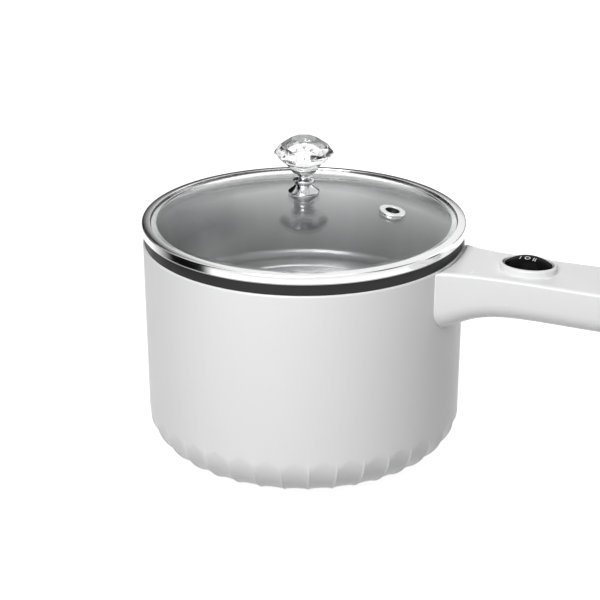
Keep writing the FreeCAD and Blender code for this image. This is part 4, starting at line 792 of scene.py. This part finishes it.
@dataclass
class Knob:
    """Turned chrome stem that holds a cut crystal.

    The stem's corners are radius, height and rounding. The crystal's rings of corners are radius
    and depth below the top, for its lobes and for the notches between them.
    """

    turned: tuple[Corner, ...] = (
        (9.0, 0.0, 0.3), (9.1, 0.8, 0.4), (6.5, 3.0, 1.5), (4.7, 4.9, 0.6), (6.4, 6.0, 0.6),
        (6.4, 7.8, 0.6), (3.6, 8.9, 0.6), (3.4, 10.4, 1.0), (7.1, 12.6, 1.2))
    cut: tuple[tuple[float, float, float, float], ...] = (
        (6.84, 0.0, 7.4, 0.0), (13.8, 3.6, 14.9, 4.7), (17.2, 8.2, 16.1, 8.2), (17.2, 9.3, 16.1, 9.3),
        (12.4, 14.6, 11.3, 14.6), (7.4, 17.6, 7.4, 17.6), (7.4, 18.4, 7.4, 18.4))
    cup: float = 8.3
    seat: float = 7.6
    seat_d: float = 0.8
    lobes: int = 8
    phase: float = 23.0
    facet_edge: float = 0.16

    def stem(self) -> None:
        """Spin the stem: foot, neck, bead, waist and cup."""
        low, high = span("knob_stem")
        top = high.z
        turned = [(radius, low.z + height, rounding) for radius, height, rounding in self.turned]
        outline = rounded([(0, low.z, 0)] + turned + [
            (self.cup, top, 0.25), (self.seat, top, 0.15), (self.seat, top - self.seat_d, 0),
            (0, top - self.seat_d, 0)], closed=False)
        bm = spun(outline, closed=False, steps=96)
        finished(bm, "knob_stem_turned", KNOB_CHROME, Rider.LID, ["knob_stem"], 50.0)

    def crystal(self) -> None:
        """Wrap facets round rings of corners and take off their sharp edges."""
        top = span("knob_crystal")[1].z
        corners = 2 * self.lobes
        rings = []
        for lobe, lobe_drop, notch, notch_drop in self.cut:
            ring = []
            for index in range(corners):
                radius, drop = (notch, notch_drop) if index % 2 else (lobe, lobe_drop)
                angle = math.radians(self.phase) + index * TURN / corners
                ring.append(Vector((radius * math.cos(angle), radius * math.sin(angle), top - drop)))
            rings.append(ring)
        bm = lofted(rings)
        bmesh.ops.triangulate(bm, faces=[face for face in bm.faces if len(face.verts) == 4])
        bmesh.ops.dissolve_limit(bm, angle_limit=math.radians(1), verts=bm.verts, edges=bm.edges)
        bmesh.ops.bevel(bm, geom=bm.edges, offset=self.facet_edge, affect="EDGES", segments=1, profile=0.5,
                        material=-1)
        bmesh.ops.recalc_face_normals(bm, faces=bm.faces)
        finished(bm, "knob_crystal_cut", KNOB_CLEAR, Rider.LID, ["knob_crystal"], 5.0)

    def build(self) -> None:
        """Make the stem and the crystal."""
        self.stem()
        self.crystal()


@dataclass
class Handle:
    """Long white handle: a tray, its top cover, the switch and the power inlet."""

    root_x: float = 92.0
    end_round: float = 2.5
    top_edge: float = 1.6
    wall: float = 2.6
    body_gap: float = 0.15
    root_wall: float = 3.4
    end_wall: float = 3.0
    grip_half: float = 21.7
    waist_half: float = 20.6
    root_half: float = 26.3
    grip_depth: float = 25.2
    root_depth: float = 36.7
    grip_corner: float = 11.0
    root_corner: float = 14.0
    flare: float = 13.0
    sweep: float = 18.0
    waist_along: float = 45.0
    grip_along: float = 93.0
    cover_in: float = 1.7
    cover_t: float = 2.4
    cover_back: float = 5.5
    root_edge: float = 1.2
    root_steps: tuple[Point, ...] = ((0.7, 0.0), (0.21, 0.3), (0.0, 1.0))
    step: float = 4.0
    post_along: tuple[float, float] = (22.0, 94.0)
    post_hole: float = 3.25
    post_hole_d: float = 3.2
    inlet_gap: float = 1.45
    inlet_half_w: float = 12.2
    inlet_half_h: float = 8.2
    inlet_cut: float = 4.5
    inlet_drop: float = 12.7

    def __post_init__(self) -> None:
        """Read the handle's height and reach from the frame."""
        high = span("handle_shell")[1]
        self.top = high.z
        self.end = high.x

    def half_width(self, x: float) -> float:
        """Half of the handle's width at a distance from the pot's axis."""
        flare = (self.root_half - self.waist_half) * math.exp((self.root_x - x) / self.flare)
        share = (x - self.root_x - self.waist_along) / (self.grip_along - self.waist_along)
        share = min(max(share, 0), 1)
        return self.waist_half + flare + (self.grip_half - self.waist_half) * share * share * (3 - 2 * share)

    def low(self, x: float) -> float:
        """Height of the underside at a distance from the pot's axis."""
        past = max(x - self.root_x, 0) / self.sweep
        return self.top - self.grip_depth - (self.root_depth - self.grip_depth) * math.exp(-past ** 1.5)

    def corner(self, x: float) -> float:
        """Radius of the lower corners at a distance from the pot's axis."""
        past = max(x - self.root_x, 0) / self.flare
        return self.grip_corner + (self.root_corner - self.grip_corner) * math.exp(-past)

    def section(self, x: float, inset: float, high: float, top_edge: float) -> list[Vector]:
        """Ring across the handle, drawn in on its sides and underside.

        Args:
            x: Distance from the pot's axis.
            inset: How far the ring is drawn in.
            high: Height of its top.
            top_edge: Radius of its top edges.

        Returns:
            The points of the ring.
        """
        half = self.half_width(x) - inset
        low = self.low(x) + inset
        corner = self.corner(x) - inset
        outline = rounded([(-half, low, corner), (half, low, corner), (half, high, top_edge),
                           (-half, high, top_edge)], steps=8)
        return [Vector((x, y, z)) for y, z in outline]

    def on_body(self, ring: Sequence[Vector], gap: float) -> list[Vector]:
        """Ring laid onto the body's side, a gap away from it.

        Args:
            ring: The ring to lay on.
            gap: Distance from the body's surface.

        Returns:
            The ring's points at the same width and height, on the body.
        """
        casing = Casing()
        laid = []
        for point in ring:
            share = (point.z - casing.base_z - casing.corner) / (casing.top_z - casing.base_z - casing.corner)
            radius = casing.foot_radius + casing.draft * share + gap
            laid.append(Vector((math.sqrt(radius ** 2 - point.y ** 2), point.y, point.z)))
        return laid

    def places(self, start: float, end: float) -> list[float]:
        """Evenly spaced distances from the axis."""
        count = round((end - start) / self.step)
        return [start + (end - start) * index / count for index in range(count + 1)]

    def hull(self) -> bmesh.types.BMesh:
        """Outside of the handle, with a rounded edge at the body and at its end."""
        start = self.root_x
        rings = []
        for drawn, out in self.root_steps:
            inset = self.root_edge * drawn
            ring = self.section(start, inset, self.top - inset, self.top_edge)
            rings.append(self.on_body(ring, self.body_gap + self.root_edge * out))
        last = self.end - self.end_round
        rings += [self.section(x, 0, self.top, self.top_edge) for x in self.places(start + self.step, last)]
        for share in (0.25, 0.5, 0.75, 1.0):
            angle = share * TURN / 4
            inset = self.end_round * (1 - math.cos(angle))
            ring = self.section(last, inset, self.top - inset, self.top_edge)
            rings.append([point + Vector((self.end_round * math.sin(angle), 0, 0)) for point in ring])
        return lofted(rings)

    def cavity(self) -> bmesh.types.BMesh:
        """Space inside the tray."""
        high = self.top - self.cover_t + 1
        start = self.on_body(self.section(self.root_x, self.wall, high, 0.4), self.body_gap + self.root_wall)
        rings = [start]
        rings += [self.section(x, self.wall, high, 0.4)
                  for x in self.places(self.root_x + 2 * self.step, self.end - self.end_wall)]
        return lofted(rings)

    def cover_slab(self, low: float, high: float) -> bmesh.types.BMesh:
        """Slab that fills the cover's seat between two heights."""
        inset = self.cover_in

        def across(x: float) -> list[Vector]:
            half = self.half_width(x) - inset
            corners = [(-half, low, 0.3), (half, low, 0.3), (half, high, 0.35), (-half, high, 0.35)]
            return [Vector((x, y, z)) for y, z in rounded(corners)]

        rings = [self.on_body(across(self.root_x), self.body_gap + inset)]
        rings += [across(x) for x in self.places(self.root_x + 2 * self.step, self.end - self.cover_back)]
        return lofted(rings)

    def inlet_cutter(self) -> bmesh.types.BMesh:
        """Six-sided hole of the inlet in the handle's end."""
        w = self.inlet_half_w + self.inlet_gap
        h = self.inlet_half_h + self.inlet_gap
        c = self.inlet_cut + self.inlet_gap * (2 - math.sqrt(2))
        z = self.top - self.inlet_drop
        outline = [(-w, h), (w, h), (w, c - h), (w - c, -h), (c - w, -h), (-w, c - h)]
        low_x = span("inlet_housing")[0].x
        return lofted([[Vector((x, y, z + up)) for y, up in outline] for x in (low_x, self.end + 1)])

    def screw_cutters(self) -> list[bmesh.types.BMesh]:
        """Holes for the two screws in the underside."""
        cutters = []
        for along in self.post_along:
            x = self.root_x + along
            mouth = Vector((x, 0, self.top - self.root_depth))
            floor = Vector((x, 0, self.top - self.grip_depth + self.post_hole_d))
            cutters.append(cylinder(self.post_hole, mouth, floor))
        return cutters

    def tray(self) -> None:
        """Cut the tray from the hull."""
        slab = self.cover_slab(self.top - self.cover_t, self.top + 4)
        bm = carved(self.hull(), [self.cavity(), slab, self.inlet_cutter()] + self.screw_cutters())
        finished(bm, "handle_tray", HANDLE_WHITE, Rider.POT, ["handle_shell"], 30.0)

    def build(self) -> None:
        """Make the tray and dress the handle's other pieces."""
        self.tray()
        dressed(HANDLE_WHITE, "handle_cover", "switch_bezel")
        dressed(HOUSING_BLACK, "inlet_housing", "switch_body", "half_wave_diode")
        dressed(CONTACT_PLATE, "inlet_pins", "switch_terminals")
        dressed(FIXING_ZINC, "handle_screws", "root_bracket", "root_screws", "switch_axle")


@dataclass
class Rocker:
    """Glossy black rocker with its three pale marks."""

    side_run: float = 0.4
    edge: float = 0.4
    dome: float = 4.4
    dome_rings: int = 14
    sides: int = 96
    leg_half: float = 2.2
    leg_half_w: float = 7.0
    skirt: float = 3.0
    axle: float = 0.85
    mark_size: float = 4.4
    mark_out: float = 0.08
    mark_pitch: float = 4.1
    mark_side: float = -2.4

    def __post_init__(self) -> None:
        """Read the rocker's place from the frame."""
        low, high = span("switch_rocker")
        self.centre = (low + high) / 2
        self.half = (high - low) / 2
        self.top = high.z
        axle_low, axle_high = span("switch_axle")
        self.pivot = (axle_low + axle_high) / 2

    def dome_height(self, x: float, y: float) -> float:
        """Height of the rocker's face over a point of its plan."""
        away = ((x - self.centre.x) / (self.half.x - self.side_run)) ** 2 + (y / self.half.y) ** 2
        radius = (self.half.y ** 2 + self.dome ** 2) / (2 * self.dome)
        return self.top - radius + math.sqrt(radius ** 2 - away * self.half.y ** 2)

    def cap(self) -> bmesh.types.BMesh:
        """Domed oval cap with flared sides, closed underneath."""
        rim = self.top - self.dome
        upper = self.half.x - self.side_run
        levels = [(self.half.x, 1.0, rim - self.skirt), (upper, 1.0, rim - self.edge)]
        shares = [math.cos(step / self.dome_rings * TURN / 4) for step in range(self.dome_rings)] + [0.03]
        levels += [(upper * share, share, self.dome_height(self.centre.x, self.half.y * share))
                   for share in shares]
        angles = [index / self.sides * TURN for index in range(self.sides)]
        return lofted([[Vector((self.centre.x + half_x * math.cos(angle),
                                self.half.y * share * math.sin(angle), z)) for angle in angles]
                       for half_x, share, z in levels])

    def marks(self) -> None:
        """Pale I, O and II printed on the far half of the face."""
        for index, word in enumerate(("I", "O", "II")):
            curve = bpy.data.curves.new("mark", "FONT")
            curve.body = word
            curve.size = self.mark_size
            curve.align_x = "CENTER"
            curve.align_y = "CENTER"
            curve.extrude = self.mark_out
            source = bpy.data.objects.new("mark", curve)
            bpy.context.scene.collection.objects.link(source)
            bm = bmesh.new()
            bm.from_mesh(source.to_mesh())
            bpy.data.objects.remove(source)
            bpy.data.curves.remove(curve)
            bmesh.ops.subdivide_edges(bm, edges=bm.edges, cuts=2)
            shift = Vector((self.centre.x + (index - 1) * self.mark_pitch, self.mark_side, 0))
            for vert in bm.verts:
                place = vert.co + shift
                raised = vert.co.z / 2 + self.mark_out / 4
                vert.co = (place.x, place.y, self.dome_height(place.x, place.y) + raised)
            finished(bm, f"switch_mark_{index + 1}", MARK_PAINT, Rider.ROCKER)

    def build(self) -> None:
        """Make the cap and its marks."""
        finished(self.cap(), "rocker_cap", ROCKER_BLACK, Rider.ROCKER, ["switch_rocker"], 60.0)
        self.marks()


@dataclass
class Internals:
    """Base, heater and wires, which keep their shape from the frame."""

    def build(self) -> None:
        """Dress every piece."""
        dressed(BASE_WHITE, "base_cover")
        dressed(FOOT_RUBBER, "base_feet")
        dressed(HEATER_ALLOY, "heating_plate", "heat_reflector")
        dressed(FIXING_ZINC, "base_screws", "tie_rods", "rod_nuts", "fuse_clip", "heating_element")
        dressed(BEAD_CERAMIC, "element_insulators")
        dressed(HOUSING_BLACK, "thermostat", "thermal_fuse")
        dressed(SLEEVE_BROWN, "live_wire", "switched_wire", "fuse_wire")
        dressed(SLEEVE_BLUE, "neutral_wire")
        dressed(SLEEVE_GREEN, "earth_wire")


# Studio


class Sight(Enum):
    """What sees a card."""

    MIRRORS = "mirrors"
    CLEAR = "clear pieces"
    BOTH = "both"


@dataclass(frozen=True)
class Card:
    """Dark curved card beside the pot that the camera doesn't see.

    Angles run from the camera's direction in degrees, to the right as seen by the camera, and
    heights and distances are in metres. Each fade is the stretch over which it gets dark.
    """

    start: float
    end: float
    far: float
    low: float
    high: float
    fade_start: float
    fade_end: float
    fade_low: float
    fade_high: float
    seen_by: Sight
    cover: float = 1.0

    def shade(self, angle: float, height: float) -> float:
        """How dark the card is at an angle and height."""
        across = min((angle - self.start) / self.fade_start, (self.end - angle) / self.fade_end, 1)
        upward = min((height - self.low) / self.fade_low, (self.high - height) / self.fade_high, 1)
        return self.cover * max(across, 0) * max(upward, 0)


@dataclass
class Studio:
    """Pale floor, soft light and the camera."""

    azimuth: float = 23.2
    pitch: float = 21.99
    distance: float = 1163.45
    height: float = 561.81
    side: float = -2.26
    lens: float = 127.1
    floor_half: float = 6.0
    floor_glow: float = 0.93
    ambient: float = 0.055
    rim_power: float = 1.4
    top_power: float = 3.5
    top_pitch: float = 86.0
    rim_azimuth: float = 110.0
    rim_pitch: float = 25.0
    key_power: float = 20.0
    key_azimuth: float = -18.0
    key_pitch: float = 42.0
    back_power: float = 14.0
    back_azimuth: float = 178.0
    back_pitch: float = 12.0
    lamp_far: float = 1.5
    cards: tuple[Card, ...] = (
        Card(-116.0, -56.0, 0.34, 0.0, 0.9, 26.0, 7.0, 0.01, 0.25, Sight.BOTH),
        Card(40.0, 80.0, 0.34, 0.17, 0.7, 8.0, 8.0, 0.05, 0.2, Sight.MIRRORS),
        Card(115.0, 245.0, 0.9, 0.06, 0.43, 15.0, 15.0, 0.08, 0.12, Sight.MIRRORS, 0.95),
        Card(-170.0, -112.0, 0.6, 0.02, 0.75, 10.0, 10.0, 0.05, 0.2, Sight.MIRRORS),
        Card(118.0, 165.0, 0.6, 0.0, 0.22, 5.0, 5.0, 0.01, 0.05, Sight.CLEAR))

    def camera(self) -> None:
        """Camera at the photograph's place."""
        turn = math.radians(self.azimuth)
        data = bpy.data.cameras.new("camera")
        data.lens = self.lens
        data.sensor_width = 36.0
        data.clip_start = 0.01
        eye = bpy.data.objects.new("camera", data)
        eye.location = (MM * (self.side * math.cos(turn) + self.distance * math.sin(turn)),
                        MM * (self.side * math.sin(turn) - self.distance * math.cos(turn)), MM * self.height)
        eye.rotation_euler = (math.radians(90 - self.pitch), 0, turn)
        bpy.context.scene.collection.objects.link(eye)
        bpy.context.scene.camera = eye

    def floor(self) -> None:
        """White floor that keeps the pot's soft shadow."""
        bm = bmesh.new()
        bmesh.ops.create_grid(bm, x_segments=1, y_segments=1, size=self.floor_half / MM)
        plane = bpy.data.objects.new("floor", as_mesh(bm, "floor"))
        graph = Graph("floor_white")
        graph.put(Roughness=0.9, Base_Color=(0.32, 0.32, 0.32, 1), Specular_IOR_Level=0.2)
        path = graph.tree.nodes.new("ShaderNodeLightPath")
        glow = graph.tree.nodes.new("ShaderNodeEmission")
        both = graph.tree.nodes.new("ShaderNodeAddShader")
        seen = graph.math("MAXIMUM", path.outputs["Is Camera Ray"], path.outputs["Is Transmission Ray"])
        graph.link(graph.math("MAXIMUM", seen, path.outputs["Is Glossy Ray"]), glow.inputs["Strength"])
        glow.inputs["Color"].default_value = (*[self.floor_glow] * 3, 1)
        graph.link(graph.shader.outputs[0], both.inputs[0])
        graph.link(glow.outputs[0], both.inputs[1])
        graph.link(both.outputs[0], graph.output.inputs["Surface"])
        plane.data.materials.append(graph.material)
        bpy.context.scene.collection.objects.link(plane)

    def world(self) -> None:
        """White surroundings: full white where seen or mirrored, softer as light."""
        world = bpy.data.worlds.new("studio")
        world.use_nodes = True
        bpy.context.scene.world = world
        tree = world.node_tree
        tree.nodes.clear()
        path = tree.nodes.new("ShaderNodeLightPath")
        shown = tree.nodes.new("ShaderNodeMath")
        shown.operation = "MAXIMUM"
        seen = tree.nodes.new("ShaderNodeMath")
        seen.operation = "MAXIMUM"
        tree.links.new(path.outputs["Is Camera Ray"], seen.inputs[0])
        tree.links.new(path.outputs["Is Glossy Ray"], seen.inputs[1])
        tree.links.new(seen.outputs[0], shown.inputs[0])
        tree.links.new(path.outputs["Is Transmission Ray"], shown.inputs[1])
        level = tree.nodes.new("ShaderNodeMix")
        level.inputs["B"].default_value = 1.0
        level.inputs["A"].default_value = self.ambient
        tree.links.new(shown.outputs[0], level.inputs["Factor"])
        glow = tree.nodes.new("ShaderNodeBackground")
        glow.inputs["Color"].default_value = (1, 1, 1, 1)
        tree.links.new(level.outputs["Result"], glow.inputs["Strength"])
        output = tree.nodes.new("ShaderNodeOutputWorld")
        tree.links.new(glow.outputs[0], output.inputs["Surface"])

    def around(self, azimuth: float, far: float, height: float) -> Vector:
        """Place on a circle about the pot, in metres.

        Args:
            azimuth: Angle from the camera's direction in degrees, to the right as seen by the camera.
            far: The circle's radius.
            height: Height of the place.

        Returns:
            The place.
        """
        turn = math.radians(self.azimuth - 90 + azimuth)
        return Vector((far * math.cos(turn), far * math.sin(turn), height))

    def lamp(self, name: str, azimuth: float, pitch: float, size: float, power: float,
             mirrored: bool = True) -> None:
        """Square soft lamp that looks at the pot.

        Args:
            name: The lamp's name.
            azimuth: Angle from the camera's direction in degrees, to the right.
            pitch: Its height above the horizon in degrees.
            size: Length of its side in metres.
            power: Its power in watts.
            mirrored: Whether shiny surfaces show it.
        """
        data = bpy.data.lights.new(name, "AREA")
        data.size = size
        data.energy = power
        lamp = bpy.data.objects.new(name, data)
        rise = math.radians(pitch)
        lamp.location = self.around(azimuth, self.lamp_far * math.cos(rise), self.lamp_far * math.sin(rise))
        lamp.visible_glossy = mirrored
        lamp.visible_transmission = mirrored
        aim = Vector((0, 0, 0.08)) - lamp.location
        lamp.rotation_euler = aim.to_track_quat("-Z", "Y").to_euler()
        bpy.context.scene.collection.objects.link(lamp)

    def card_black(self) -> bpy.types.Material:
        """Black that fades to nothing towards a card's ends."""
        graph = Graph("card_black")
        graph.put(Base_Color=(0.01, 0.01, 0.01, 1), Roughness=1.0, Specular_IOR_Level=0.0)
        density = graph.tree.nodes.new("ShaderNodeAttribute")
        density.attribute_name = "shade"
        clear = graph.tree.nodes.new("ShaderNodeBsdfTransparent")
        mix = graph.tree.nodes.new("ShaderNodeMixShader")
        graph.link(density.outputs["Fac"], mix.inputs["Fac"])
        graph.link(clear.outputs[0], mix.inputs[1])
        graph.link(graph.shader.outputs[0], mix.inputs[2])
        graph.link(mix.outputs[0], graph.output.inputs["Surface"])
        return graph.material

    def stand(self, card: Card, black: bpy.types.Material) -> None:
        """Stand a card beside the pot.

        Args:
            card: The card.
            black: Its material.
        """
        bm = bmesh.new()
        layer = bm.verts.layers.float.new("shade")
        bmesh.ops.create_grid(bm, x_segments=36, y_segments=18, size=1.0)
        for vert in bm.verts:
            angle = card.start + (card.end - card.start) * (vert.co.x + 1) / 2
            height = card.low + (card.high - card.low) * (vert.co.y + 1) / 2
            vert[layer] = card.shade(angle, height)
            vert.co = self.around(angle, card.far, height)
        mesh = bpy.data.meshes.new("card")
        bm.to_mesh(mesh)
        bm.free()
        mesh.materials.append(black)
        standing = bpy.data.objects.new("card", mesh)
        bpy.context.scene.collection.objects.link(standing)
        standing.visible_camera = False
        standing.visible_diffuse = False
        standing.visible_shadow = False
        standing.visible_glossy = card.seen_by is not Sight.CLEAR
        standing.visible_transmission = card.seen_by is not Sight.MIRRORS

    def build(self) -> None:
        """Set up the camera, the floor, the surroundings and the lamps."""
        self.camera()
        self.floor()
        self.world()
        self.lamp("key", self.key_azimuth, self.key_pitch, 0.8, self.key_power)
        self.lamp("rim", self.rim_azimuth, self.rim_pitch, 0.6, self.rim_power)
        self.lamp("top", 0.0, self.top_pitch, 0.8, self.top_power)
        self.lamp("back", self.back_azimuth, self.back_pitch, 0.8, self.back_power, mirrored=False)
        black = self.card_black()
        for card in self.cards:
            self.stand(card, black)
        view = bpy.context.scene.view_settings
        view.view_transform = "Standard"


def main() -> None:
    logging.basicConfig(level=logging.INFO, format="%(message)s")
    parts: list[Casing | RimRing | InnerPot | Lid | Vent | Knob | Handle | Rocker | Internals | Studio] = [
        Casing(), RimRing(), InnerPot(), Lid(), Vent(), Knob(), Handle(), Rocker(), Internals(), Studio()]
    for part in parts:
        log.info("building %s", type(part).__name__)
        part.build()
    bpy.context.view_layer.update()


if __name__ == "__main__":
    main()
